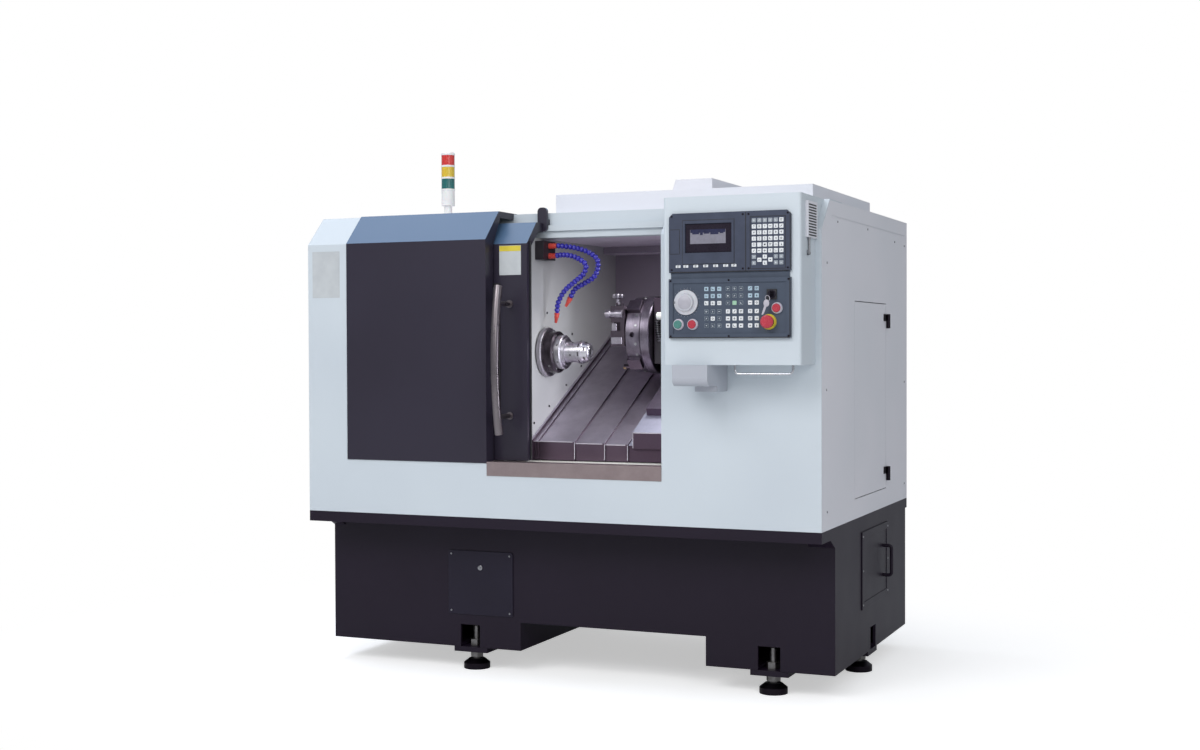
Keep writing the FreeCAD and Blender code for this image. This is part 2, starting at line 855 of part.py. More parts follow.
def base_covers():
    front = new_body("base_front_cover")
    plate = rectangle("front_cover_middle - front_cover_width / 2", "front_cover_level - front_cover_height / 2",
                      "front_cover_middle + front_cover_width / 2", "front_cover_level + front_cover_height / 2")
    pad(front, "XZ_Plane", [plate], "lip_reach - cover_plate", "lip_reach")
    soften(front, "Fillet", "cover_corner", lambda middle, along: abs(along.y) > abs(along.x) + abs(along.z))

    side = new_body("base_side_cover")
    plate = rectangle("side_cover_middle - side_cover_width / 2", "side_cover_level - side_cover_height / 2",
                      "side_cover_middle + side_cover_width / 2", "side_cover_level + side_cover_height / 2")
    pad(side, "YZ_Plane", [plate], "body_width", "body_width + cover_plate")
    dish = rectangle("side_cover_middle - side_cover_width / 2 + side_cover_rim",
                     "side_cover_level - side_cover_height / 2 + side_cover_rim",
                     "side_cover_middle + side_cover_width / 2 - side_cover_rim",
                     "side_cover_level + side_cover_height / 2 - side_cover_rim")
    cut(side, "YZ_Plane", [dish], "body_width + cover_plate - side_cover_dish", "body_width + cover_plate + 1")

    face = amount("body_width + cover_plate - side_cover_dish")
    out = amount("body_width + side_reach - side_handle_radius")
    back = amount("side_cover_middle + side_cover_width / 2 - side_handle_inset")
    low = amount("side_cover_level - side_handle_length / 2")
    high = amount("side_cover_level + side_handle_length / 2")
    grip = rod([vector(face, back, low), vector(out, back, low), vector(out, back, high), vector(face, back, high)],
               amount("side_handle_bend"), amount("side_handle_radius"))
    made("base_side_handle", grip)


# ---------------------------------------------------------------- enclosure sheets
def front_panel():
    """One folded sheet: the front, the sloping shoulder and a strip of roof, cut away for the cover and door."""
    body = new_body("front_panel")
    outer = [("0", "body_bottom"), ("0", "fold_height"), ("chamfer_run", "roof_height"),
             ("roof_seam", "roof_height")]
    inner = [("skin", "body_bottom"), ("skin", "fold_height - fold_lean"),
             ("chamfer_run + fold_lean", "roof_height - skin"), ("roof_seam", "roof_height - skin")]
    pad(body, "YZ_Plane", [folded(outer, inner)], "0", "body_width")
    opening = rectangle("cover_left", "sill_top", "opening_right", "roof_height + 1")
    cut(body, "XZ_Plane", [opening], "-1", "roof_seam + 1")
    run_in = rectangle("opening_right - 1", "lintel_plane - hanger_room", "track_end", "roof_seam + 1")
    cut(body, "XY_Plane", [run_in], "roof_height - skin - 1", "roof_height + 1")
    # the sheet turns inwards at the right of the opening
    edge = [("skin / 2", "sill_top"), ("edge_return", "sill_top"), ("edge_return", "fold_height"),
            ("skin / 2", "fold_height")]
    pad(body, "YZ_Plane", [edge], "opening_right", "opening_right + skin")


def side_panels():
    left = new_body("left_side_panel")
    whole = [("skin", "body_bottom"), ("body_depth", "body_bottom"), ("body_depth", "roof_height - skin"),
             ("chamfer_run + fold_lean", "roof_height - skin"), ("skin", "fold_height - fold_lean")]
    pad(left, "YZ_Plane", [whole], "0", "skin")

    right = new_body("right_side_panel")
    pad(right, "YZ_Plane", [whole], "body_width - skin", "body_width")
    doorway = rectangle("access_front", "access_bottom", "access_back", "access_top")
    cut(right, "YZ_Plane", [doorway], "body_width - skin - 1", "body_width + 1")
    slot = rectangle("seam_front", "side_seam", "body_depth - side_edge", "side_seam + side_slot")
    cut(right, "YZ_Plane", [slot], "body_width - skin / 2", "body_width + 1")

    back = new_body("back_panel")
    sheet_outline = rectangle("skin", "body_bottom", "body_width - skin", "roof_height - skin")
    pad(back, "XZ_Plane", [sheet_outline], "body_depth - skin", "body_depth")

    roof = new_body("roof_panel")
    pad(roof, "XY_Plane", [rectangle("0", "roof_seam", "body_width", "body_depth")],
        "roof_height - skin", "roof_height")
    cut(roof, "XY_Plane", [inside_roof_box()], "roof_height - skin - 1", "roof_height + 1")


def inside_roof_box():
    return rectangle("roof_box_left + skin", "roof_box_front + skin", "roof_box_right - skin",
                     "roof_box_back - skin")


def lintel():
    """The beam over the doorway, a folded channel with the door's rail along its face."""
    body = new_body("lintel")
    channel = [("lintel_plane", "lintel_bottom"), ("lintel_back", "lintel_bottom"),
               ("lintel_back", "lintel_bottom + skin"), ("lintel_plane + skin", "lintel_bottom + skin"),
               ("lintel_plane + skin", "roof_height - skin"), ("roof_seam", "roof_height - skin"),
               ("roof_seam", "roof_height"), ("lintel_plane", "roof_height")]
    pad(body, "YZ_Plane", [channel], "cover_left", "track_end")
    track = rectangle("lintel_plane - track_depth", "track_level", "lintel_plane + skin / 2",
                      "track_level + track_height")
    pad(body, "YZ_Plane", [track], "cover_left", "track_end")


def shoulder_sheet(body, plane_back, bottom, fold, run, flange_end, left, right, side_depth, flange_drop,
                   band_end):
    """A sheet that goes up, leans back over a shoulder and ends in a flange, with a return at each side."""
    top = "(%s + %s)" % (fold, run)
    outer = [(plane_back, bottom), (plane_back, fold), (plane_back + " + " + run, top), (flange_end, top)]
    inner = [(plane_back + " + skin", bottom), (plane_back + " + skin", fold + " - fold_lean"),
             (plane_back + " + " + run + " + fold_lean", top + " - skin"), (flange_end, top + " - skin")]
    pad(body, "YZ_Plane", [folded(outer, inner)], left, right)
    deep = "(%s)" % side_depth
    band = [(plane_back, bottom), (plane_back, fold), (plane_back + " + " + run, top), (band_end, top),
            (band_end, top + " - " + flange_drop),
            (plane_back + " + " + run + " + " + flange_drop + " * 0.5", top + " - " + flange_drop),
            (plane_back + " + " + deep, fold + " - " + deep + " * 0.35"), (plane_back + " + " + deep, bottom)]
    pad(body, "YZ_Plane", [band], left, left + " + skin")
    pad(body, "YZ_Plane", [band], right + " - skin", right)


def fixed_cover():
    body = new_body("fixed_door_cover")
    shoulder_sheet(body, "0 - skin", "sill_top - skin", "(fold_height + fold_lean)",
                   "(chamfer_run + skin - fold_lean)", "cover_flange_end", "cover_left - skin",
                   "opening_left", "cover_return", "cover_flange_drop", "lintel_plane - slide_gap")
    # the left return stays in front of the fixed sheet that it laps
    trim = [("0", "sill_top - skin - 1"), ("0", "fold_height"), ("chamfer_run", "roof_height"),
            ("cover_flange_end + 1", "roof_height"), ("cover_flange_end + 1", "sill_top - skin - 1")]
    cut(body, "YZ_Plane", [trim], "cover_left - skin - 1", "cover_left")
    low = rectangle("0", "sill_top - skin - 1", "cover_return + 1", "sill_top")
    cut(body, "YZ_Plane", [low], "cover_left - skin - 1", "opening_left + 1")


def sliding_door():
    body = new_body("sliding_door")
    bottom = "sill_top + door_gap"
    right = "(door_left + door_width)"
    shoulder_sheet(body, "door_plane", bottom, "door_fold", "door_run", "door_flange_end", "door_left", right,
                   "door_depth", "door_flange_drop", "door_flange_end")
    top = "door_fold + door_run"
    lip = rectangle("door_flange_end - skin", top + " - door_flange_drop", "door_flange_end", top + " - skin / 2")
    pad(body, "YZ_Plane", [lip], "door_left", right)
    view = rectangle("door_left + window_left", "window_bottom", "door_left + window_right", "window_top")
    cut(body, "XZ_Plane", [view], "door_plane - 1", "door_plane + skin + 1")
    stiffener = rectangle("door_plane + skin / 2", bottom, "door_plane + door_depth", bottom + " + skin")
    pad(body, "YZ_Plane", [stiffener], "door_left", right)

    glass = new_body("door_window")
    pane = rectangle("door_left + window_left - window_lap", "window_bottom - window_lap",
                     "door_left + window_right + window_lap", "window_top + window_lap")
    pad(glass, "XZ_Plane", [pane], "door_plane + skin", "door_plane + skin + glass_thick")

    left = "door_left + hanger_inset"
    right = "door_left + door_width + hanger_overhang - hanger_width"
    made("door_hangers", Part.makeCompound([hanger(left, "hanger_low_top"), hanger(right, "hanger_top")]))


def hanger(across, top):
    """An upright bar with round ends behind the door's flange, and the shoe that rides on the rail."""
    wide = amount("hanger_width")
    low = vector(amount(across), amount("door_flange_end"), amount("hanger_bottom"))
    bar = Part.makeBox(wide, amount("hanger_thick"), amount(top) - low.z, low)
    ends = [edge for edge in bar.Edges if edge.BoundBox.YLength > 1]
    bar = bar.makeFillet(amount("hanger_round"), ends)
    seat = vector(low.x, low.y, amount("track_level + track_height + slide_gap"))
    shoe = Part.makeBox(wide, amount("lintel_plane - slide_gap") - low.y, amount("shoe_height"), seat)
    return bar.fuse(shoe).removeSplitter()


def door_handle():
    """A bowed tube with capped ends on two posts."""
    across = amount("door_left + door_width - handle_offset")
    surface = amount("door_plane")
    line = amount("door_plane - handle_reach")
    low = amount("handle_bottom")
    high = amount("handle_top")
    # the tube is an arc in the upright plane, so it is a part of a ring about a far centre
    bow = amount("handle_bow")
    half = (high - low) / 2
    sweep = 2 * math.atan(bow / half) * 2
    ring = half / math.sin(sweep / 2)
    centre = vector(across, line - bow + ring, (low + high) / 2)
    end = vector(across, line, low)
    tube = disc(end, (end - centre).cross(vector(1, 0, 0)), amount("handle_radius"))
    tube = tube.revolve(centre, vector(1, 0, 0), -math.degrees(sweep))
    posts = []
    for level in (low + amount("handle_post_inset"), high - amount("handle_post_inset")):
        post = Part.makeCylinder(amount("handle_post_radius"), surface - line + amount("handle_bow") / 2,
                                 vector(across, surface, level), vector(0, -1, 0))
        foot = Part.makeCylinder(amount("handle_foot_radius"), amount("skin"),
                                 vector(across, surface, level), vector(0, -1, 0))
        posts.extend([post, foot])
    made("door_handle", tube.fuse(posts).removeSplitter())


def sill_guard():
    body = new_body("sill_guard")
    outer = [("0 - guard_thick", "sill_top - sill_height"), ("0 - guard_thick", "sill_top + guard_thick"),
             ("door_plane - door_gap", "sill_top + guard_thick")]
    inner = [("0", "sill_top - sill_height"), ("0", "sill_top"), ("door_plane - door_gap", "sill_top")]
    pad(body, "YZ_Plane", [folded(outer, inner)], "opening_left", "opening_right")


def roof_covers():
    box = new_body("roof_box")
    pad(box, "XY_Plane", [rectangle("roof_box_left", "roof_box_front", "roof_box_right", "roof_box_back")],
        "roof_height", "roof_height + roof_box_height")
    cut(box, "XY_Plane", [inside_roof_box()], "roof_height - 1", "roof_height + roof_box_height - skin")

    hood = new_body("motor_hood")
    base = "roof_height + roof_box_height"
    lean = [("hood_left", base), ("hood_right", base), ("hood_right", base + " + hood_rise"),
            ("hood_left + hood_lean", base + " + hood_rise")]
    pad(hood, "XZ_Plane", [lean], "hood_front", "hood_back")


# ---------------------------------------------------------------- signal tower
def signal_tower():
    base = "roof_height"
    seats = {"across": "tower_across", "back": "tower_back"}
    white = new_body("tower_body", up=base, **seats)
    lamps = "tower_stem + tower_white + 3 * (lamp_height + lamp_joint)"
    turn(white, [("0", "0"), ("tower_foot_radius", "0"), ("tower_foot_radius", "tower_foot"),
                 ("tower_stem_radius", "tower_foot"), ("tower_stem_radius", "tower_stem"),
                 ("tower_radius", "tower_stem"), ("tower_radius", "tower_stem + tower_white"),
                 ("tower_post", "tower_stem + tower_white"), ("tower_post", lamps), ("tower_radius", lamps),
                 ("tower_radius", lamps + " + tower_cap / 2"),
                 ("tower_radius - tower_cap / 2", lamps + " + tower_cap"), ("0", lamps + " + tower_cap")], "Z")
    level = "roof_height + tower_stem + tower_white"
    groove = "(tower_radius - lamp_groove)"
    for colour in ("green", "amber", "red"):
        lamp = new_body("lamp_" + colour, up=level, **seats)
        turn(lamp, [("tower_post", "0"), (groove, "0"), (groove, "lamp_joint / 2"),
                    ("tower_radius", "lamp_joint / 2"), ("tower_radius", "lamp_joint / 2 + lamp_height"),
                    (groove, "lamp_joint / 2 + lamp_height"),
                    (groove, "lamp_joint + lamp_height"), ("tower_post", "lamp_joint + lamp_height")], "Z")
        level += " + lamp_joint + lamp_height"


# ---------------------------------------------------------------- control housing
def control_housing():
    body = new_body("control_housing")
    side = [("0 - housing_reach", "housing_bottom"), ("0", "housing_bottom"), ("0", "fold_height"),
            ("chamfer_run", "roof_height"), ("0 - housing_reach", "roof_height")]
    pad(body, "YZ_Plane", [side], "housing_left", "housing_right")
    front = -amount("housing_reach")
    soften(body, "Fillet", "housing_edge",
           lambda middle, along: abs(middle.y - front) < 0.1 and abs(along.z) > abs(along.x))
    # recess behind the plates, for their terminals
    hole = rectangle("panel_left + recess_inset", "operator_bottom + recess_inset", "panel_right - recess_inset",
                     "display_top - recess_inset")
    cut(body, "XZ_Plane", [hole], "0 - housing_reach - 1", "0 - housing_reach + recess_depth")


def panels():
    face = "0 - housing_reach"
    display = new_body("display_unit")
    outline = [("panel_left", "display_bottom"), ("panel_split", "display_bottom"), ("panel_split", "display_top"),
               ("panel_left + panel_corner", "display_top"), ("panel_left", "display_top - panel_corner")]
    pad(display, "XZ_Plane", [outline], face + " - panel_thick", face)
    window = rectangle("screen_left", "screen_bottom", "screen_right", "screen_top")
    cut(display, "XZ_Plane", [window], face + " - panel_thick - 1", face + " - panel_thick + screen_recess")

    screen = new_body("display_screen")
    glass = rectangle("screen_left + screen_gap", "screen_bottom + screen_gap", "screen_right - screen_gap",
                      "screen_top - screen_gap")
    pad(screen, "XZ_Plane", [glass], face + " - panel_thick + screen_recess - screen_thick",
        face + " - panel_thick + screen_recess")

    keypad = new_body("keypad_unit")
    outline = [("panel_split", "display_bottom"), ("panel_right", "display_bottom"),
               ("panel_right", "display_top - panel_corner"), ("panel_right - panel_corner", "display_top"),
               ("panel_split", "display_top")]
    pad(keypad, "XZ_Plane", [outline], face + " - panel_thick", face)

    operator = new_body("operator_panel")
    plate = rectangle("panel_left", "operator_bottom", "panel_right", "operator_top")
    pad(operator, "XZ_Plane", [plate], face + " - panel_thick - operator_recess", face)
    strip = rectangle("panel_left + strip_inset", "operator_top", "panel_right - strip_inset", "display_bottom")
    pad(operator, "XZ_Plane", [strip], face + " - strip_thick", face)
    shallow = rectangle("panel_left + operator_rim", "operator_bottom + operator_rim",
                        "panel_right - operator_rim", "operator_top - operator_rim")
    cut(operator, "XZ_Plane", [shallow], face + " - panel_thick - operator_recess - 1", face + " - panel_thick")
    spots = [("dial_across", "dial_level"), ("green_across", "start_level"), ("red_across", "start_level"),
             ("off_across", "off_level"), ("key_across", "key_level"), ("stop_across", "stop_level")]
    holes = [(across, level, "stem_hole") for across, level in spots]
    cut(operator, "XZ_Plane", holes, face + " - panel_thick - 1", face + " + 1")


def key_grid(left, top, pitch, drop, columns, rows, wide, high):
    """Raised membrane keys, as flat blocks that stand on the panel's face."""
    back = -amount("housing_reach + panel_thick")
    thick = amount("key_thick")
    return [Part.makeBox(wide, thick, high,
                         vector(left + column * pitch - wide / 2, back - thick, top - row * drop - high / 2))
            for row in range(rows) for column in range(columns)]


def membrane_keys():
    wide = amount("key_width")
    high = amount("key_height")
    blocks = key_grid(amount("pad_key_left"), amount("pad_key_top"), amount("pad_key_pitch"),
                      amount("pad_key_drop"), 6, 8, wide, high)
    blocks += key_grid(amount("soft_key_left"), amount("soft_key_level"), amount("soft_key_pitch"), 0, 7, 1,
                       amount("soft_key_width"), amount("soft_key_height"))
    for group, columns in (("0", 3), ("function_group_second", 3), ("function_group_third", 2)):
        for half in (0, 1):
            top = amount("function_key_top - %d * (function_key_drop * 3 + function_rows_gap)" % half)
            blocks += key_grid(amount("function_key_left + " + group), top, amount("function_key_pitch"),
                               amount("function_key_drop"), columns, 3, wide, high)
    made("membrane_keys", Part.makeCompound(blocks))


def control(label, across, level, outline):
    """A control that stands in its hole in the operator panel, turned about the panel's normal."""
    body = new_body(label, across=across, back="0 - housing_reach - panel_thick", up=level)
    turn(body, outline, "Y")
    return body


def hand_controls():
    inside = "panel_thick + stem_reach"
    dial = control("override_dial", "dial_across", "dial_level",
                   [("0", inside), ("stem_radius", inside), ("stem_radius", "0 - control_gap"),
                    ("dial_radius", "0 - control_gap"), ("dial_radius", "0 - control_gap - dial_rim"),
                    ("dial_knob_radius + dial_step", "0 - dial_shoulder"), ("dial_knob_radius", "0 - dial_height"),
                    ("0", "0 - dial_height")])
    # the finger dimple stands at the left, where the scale is read
    dimple = [("0 - dimple_offset", "0", "dimple_radius")]
    cut(dial, "XZ_Plane", dimple, "0 - dial_height - 1", "0 - dial_height + dimple_depth")
    shoulder = "0 - button_travel - control_gap"
    face = "0 - button_travel - button_height"
    cap = [("0", inside), ("stem_radius", inside), ("stem_radius", shoulder), ("button_radius", shoulder),
           ("button_radius", face + " + edge_break"), ("button_radius - edge_break", face), ("0", face)]
    control("green_button", "green_across", "start_level", cap)
    control("red_button", "red_across", "start_level", cap)
    control("off_button", "off_across", "off_level", cap)
    neck = "0 - stop_travel - control_gap - stop_neck"
    control("emergency_stop", "stop_across", "stop_level",
            [("0", inside), ("stem_radius", inside), ("stem_radius", neck), ("stop_skirt", neck + " - edge_break"),
             ("stop_radius", "0 - stop_height + stop_edge + stop_band"),
             ("stop_radius", "0 - stop_height + stop_edge"), ("stop_crown", "0 - stop_height"),
             ("0", "0 - stop_height")])
    collar = "(stem_radius + key_collar_rim)"
    key = control("key_switch", "key_across", "key_level",
                  [("0", inside), ("stem_radius", inside), ("stem_radius", "0 - control_gap"),
                   (collar, "0 - control_gap"), (collar, "0 - key_collar_height"), ("0", "0 - key_collar_height")])
    bow = rectangle("0 - key_blade / 2", "0 - key_bow / 2", "key_blade / 2", "key_bow / 2")
    pad(key, "XZ_Plane", [bow], "0 - key_reach", "0 - key_collar_height + edge_break / 2")


def below_housing():
    service = new_body("service_box")
    outline = rectangle("0 - service_reach", "service_bottom", "0", "housing_bottom")
    pad(service, "YZ_Plane", [outline], "service_left", "service_right")
    low = amount("service_bottom")
    front = -amount("service_reach")
    soften(service, "Fillet", "service_round",
           lambda middle, along: abs(middle.z - low) < 0.1 and abs(middle.y - front) < 0.1)
    gland = rectangle("gland_left", "0 - gland_reach", "service_right", "0")
    pad(service, "XY_Plane", [gland], "service_bottom - gland_drop", "service_bottom")

    high = amount("housing_bottom")
    down = high - amount("rail_drop")
    line = -amount("rail_front")
    first = amount("rail_left")
    last = amount("rail_right")
    grip = rod([vector(first, line, high), vector(first, line, down), vector(last, line, down),
                vector(last, line, high)], amount("rail_bend"), amount("rail_radius"))
    made("grab_rail", grip)


def louvre_cover():
    """A vent cover on the housing's side: a shallow box with a column of slots in its face."""
    body = new_body("louvre_cover")
    outline = rectangle("0 - louvre_front", "louvre_bottom", "0 - louvre_back", "louvre_top")
    pad(body, "YZ_Plane", [outline], "housing_right", "housing_right + louvre_thick")
    pitch = "(louvre_top - louvre_bottom - 2 * louvre_rim) / louvre_count"
    slots = []
    for index in range(int(amount("louvre_count"))):
        low = "louvre_bottom + louvre_rim + %d * %s" % (index, pitch)
        high = low + " + %s * louvre_open" % pitch
        slots.append(rectangle("louvre_rim - louvre_front", low, "0 - louvre_back - 2 * louvre_rim", high))
    cut(body, "YZ_Plane", slots, "housing_right + skin", "housing_right + louvre_thick + 1")


# ---------------------------------------------------------------- right side door
def side_door():
    door = new_body("side_access_door")
    leaf = rectangle("access_front + access_gap", "access_bottom + access_gap", "access_back - access_gap",
                     "access_top - access_gap")
    pad(door, "YZ_Plane", [leaf], "body_width - skin", "body_width")
    fixed = []
    moving = []
    line = vector(amount("body_width + hinge_radius + hinge_stand"), amount("access_back + hinge_setback"), 0)
    lap = amount("hinge_lap")
    leaf_height = amount("hinge_height")
    radius = amount("hinge_radius")
    pin_radius = amount("hinge_pin_radius")
    thick = amount("hinge_leaf")
    long = amount("hinge_leaf_length")
    play = amount("slide_gap")
    for level in (amount("hinge_upper"), amount("hinge_lower")):
        low = level - leaf_height / 2
        half = leaf_height / 2
        knuckle_low = Part.makeCylinder(radius, half, line + vector(0, 0, low))
        knuckle_high = Part.makeCylinder(radius, half - play, line + vector(0, 0, level + play))
        pin = Part.makeCylinder(pin_radius, leaf_height - play, line + vector(0, 0, low))
        bore = Part.makeCylinder(pin_radius + amount("bearing_clearance"), leaf_height,
                                 line + vector(0, 0, low))
        outer = Part.makeBox(thick, long, half, vector(amount("body_width"), line.y + lap, low))
        inner = Part.makeBox(thick, long, half - play,
                             vector(amount("body_width"), line.y - lap - long, level + play))
        fixed.append(knuckle_low.fuse([outer, pin]).removeSplitter())
        moving.append(knuckle_high.fuse(inner).cut(bore).removeSplitter())
    made("side_hinge_fixed", Part.makeCompound(fixed))
    made("side_hinge_moving", Part.makeCompound(moving))


# ---------------------------------------------------------------- working space
def slanted(along, above):
    """A point by its distance up the slanted covers and its height square to them."""
    back = "cover_front + (%s) * cos(slope) - (%s) * sin(slope)" % (along, above)
    level = "cover_low + (%s) * sin(slope) + (%s) * cos(slope)" % (along, above)
    return back, level


def cabin():
    wall = new_body("headstock_wall")
    edge = "0 - 3 * cover_step"
    outline = [("wall_front", "sill_top"), (slanted("0", edge)[0], "sill_top"), slanted("0", edge),
               slanted("cover_reach", edge), ("cabin_back", slanted("cover_reach", edge)[1]),
               ("cabin_back", "lintel_bottom"), ("wall_front", "lintel_bottom")]
    hole = ("spindle_back", "spindle_level", "spindle_radius + wall_hole_gap")
    pad(wall, "YZ_Plane", [outline, hole], "wall_plane - skin", "wall_plane")

    liner = new_body("cabin_liner")
    low = "cover_low + liner_rise"
    high = "lintel_bottom"
    outer = [("cabin_back", low), ("cabin_back", "duct_bottom"), ("duct_front", "duct_bottom"),
             ("duct_front", high), ("lintel_back", high)]
    inner = [("cabin_back + skin", low), ("cabin_back + skin", "duct_bottom + skin"),
             ("duct_front + skin", "duct_bottom + skin"), ("duct_front + skin", high + " + skin"),
             ("lintel_back", high + " + skin")]
    pad(liner, "YZ_Plane", [folded(outer, inner)], "wall_plane", "cabin_right")
    end = [("wall_front", "sill_top"), ("cabin_back + skin", "sill_top"), ("cabin_back + skin", high),
           ("wall_front", high)]
    pad(liner, "YZ_Plane", [end], "cabin_right - skin", "cabin_right")

    tray = new_body("drip_tray")
    pad(tray, "YZ_Plane", [rectangle("skin", "sill_top - skin", "bed_front", "sill_top")],
        "cover_left", "cabin_right - skin")


def leaf_line(depth, bottom):
    """The line of a cover leaf: up its front skirt and along the slant, at a depth below the first leaf."""
    corner = "cover_low + (%s) * tan(slope) - (%s) / cos(slope)" % (depth, depth)
    return [("cover_front + " + depth, bottom), ("cover_front + " + depth, corner),
            slanted("cover_reach", "0 - (%s)" % depth)]


def leaf(outer, inner):
    """The closed outline between two such lines."""
    bottom = "sill_top + skirt_gap"
    return folded(leaf_line(outer, bottom), leaf_line(inner, bottom))


def way_cover(label, start, end, order):
    """One leaf of the telescopic covers, with the wiper along its right edge that rides on the next leaf."""
    body = new_body(label)
    step = "(%d * cover_step)" % order
    pad(body, "YZ_Plane", [leaf(step, step + " + cover_sheet")], start, end)
    wiper = leaf(step + " - wiper_height", step + " + cover_step - slide_gap")
    pad(body, "YZ_Plane", [wiper], end + " - wiper_width", end)
    return body


def way_covers():
    first = way_cover("way_cover_fixed", "wall_plane", "cover_one_end", 0)
    pad(first, "YZ_Plane", [leaf("0 - gutter_height", "cover_sheet / 2")], "wall_plane", "wall_plane + gutter_web")
    pad(first, "YZ_Plane", [leaf("0 - gutter_step", "cover_sheet / 2")], "wall_plane", "wall_plane + gutter_width")
    way_cover("way_cover_second", "cover_two_start", "cover_two_end", 1)
    way_cover("way_cover_third", "cover_three_start", "cover_three_end", 2)


def slant_bed():
    """The cast bed: a sloping top with two raised ways for the saddle, and the headstock at its left end."""
    body = new_body("slant_bed")
    deep = "0 - bed_depth"
    high = "0 - bed_depth + way_height"
    start = "((bed_front - cover_front - bed_depth * sin(slope)) / cos(slope))"
    top_end = slanted("bed_reach", deep)
    outline = [("bed_front", "body_bottom"), slanted(start, deep), slanted("way_lower", deep),
               slanted("way_lower", high), slanted("way_lower + way_width", high),
               slanted("way_lower + way_width", deep), slanted("way_upper", deep), slanted("way_upper", high),
               slanted("way_upper + way_width", high), slanted("way_upper + way_width", deep),
               top_end, (top_end[0], "body_bottom")]
    pad(body, "YZ_Plane", [outline], "bed_left", "cabin_right - skin * 2")
    sole = "spindle_level - headstock_drop"
    casting = rectangle("headstock_front", sole, "headstock_back", "headstock_top")
    bore = ("spindle_back", "spindle_level", "spindle_radius + bearing_clearance")
    seat = "wall_plane - skin - headstock_gap"
    pad(body, "YZ_Plane", [casting], "headstock_left", seat)
    cut(body, "YZ_Plane", [bore], "headstock_left - 1", seat + " + 1")


# ---------------------------------------------------------------- spindle and chuck
def spindle_group():
    seat = {"across": "wall_plane + flange_gap", "back": "spindle_back", "up": "spindle_level"}
    shaft = new_body("spindle", **seat)
    tail = "0 - spindle_reach"
    turn(shaft, [(tail, "drawbar_bore"), (tail, "spindle_radius"), ("0", "spindle_radius"),
                 ("0", "flange_radius - edge_bevel"), ("edge_bevel", "flange_radius"),
                 ("flange_thick - edge_bevel", "flange_radius"), ("flange_thick", "flange_radius - edge_bevel"),
                 ("flange_thick", "drawbar_bore")], "X")

    chuck = new_body("chuck_body", **seat)
    start = "flange_thick"
    end = "flange_thick + chuck_thick"
    turn(chuck, [(start, "drawbar_bore"), (start, "chuck_radius"), (end + " - chuck_bevel", "chuck_radius"),
                 (end, "chuck_radius - chuck_bevel"), (end, "drawbar_bore")], "X")

    nose = new_body("collet_nose", **seat)
    neck = end + " + nose_ring_thick"
    sleeve = neck + " + nose_neck_thick"
    collar = sleeve + " + nose_length"
    tip = collar + " + nose_collar_thick"
    finish = tip + " + nose_tip"
    pocket = finish + " - collet_depth"
    turn(nose, [(end, "drawbar_bore"), (end, "nose_ring_radius"), (neck + " - edge_bevel", "nose_ring_radius"),
                (neck, "nose_ring_radius - edge_bevel"), (neck, "nose_neck_radius"), (sleeve, "nose_neck_radius"),
                (sleeve, "nose_radius"), (collar, "nose_radius"), (collar, "nose_collar_radius"),
                (tip, "nose_collar_radius"), (tip, "nose_radius"), (finish, "nose_radius - nose_taper"),
                (finish, "collet_seat"), (pocket, "collet_seat"), (pocket, "drawbar_bore")], "X")

    collet = new_body("collet", **seat)
    face = finish + " + collet_proud"
    turn(collet, [(pocket, "collet_bore"), (pocket, "collet_radius"), (face + " - collet_bevel", "collet_radius"),
                  (face, "collet_radius - collet_bevel"), (face, "collet_bore")], "X")
    # three slits let the collet close on the bar
    for third in range(3):
        turned = "(%d * 1 deg)" % (90 + 120 * third)
        slit = []
        for radius, side in (("(collet_bore - 1)", "- 1"), ("(collet_radius + 1)", "- 1"),
                             ("(collet_radius + 1)", "+ 1"), ("(collet_bore - 1)", "+ 1")):
            half = "(0 %s) * collet_slit / 2" % side
            slit.append(("%s * cos%s - %s * sin%s" % (radius, turned, half, turned),
                         "%s * sin%s + %s * cos%s" % (radius, turned, half, turned)))
        cut(collet, "YZ_Plane", [slit], finish + " - collet_slit_depth", face + " + 1")


# ---------------------------------------------------------------- saddle, slide and turret
def saddle():
    """The carriage on the ways, with the last leaf of the covers fixed to its left side."""
    body = new_body("saddle")
    end = "saddle_left + saddle_width"
    under = "0 - bed_depth + way_height + slide_gap"
    top_front = "cover_low + saddle_top / cos(slope)"
    sole = top_front + " - saddle_nose"
    outline = [("cover_front", sole), ("cover_front", top_front), slanted("saddle_reach", "saddle_top"),
               slanted("saddle_reach", under), slanted("saddle_heel", under), ("cover_front + saddle_heel", sole)]
    pad(body, "YZ_Plane", [outline], "saddle_left", end)
    step = "(3 * cover_step)"
    pad(body, "YZ_Plane", [leaf(step, step + " + cover_sheet")], "tongue_start", "saddle_left + 1")
    skirt = rectangle("cover_front + " + step, "sill_top + skirt_gap", "cover_front + %s + cover_sheet" % step,
                      sole + " + 1")
    pad(body, "YZ_Plane", [skirt], "saddle_left", end)


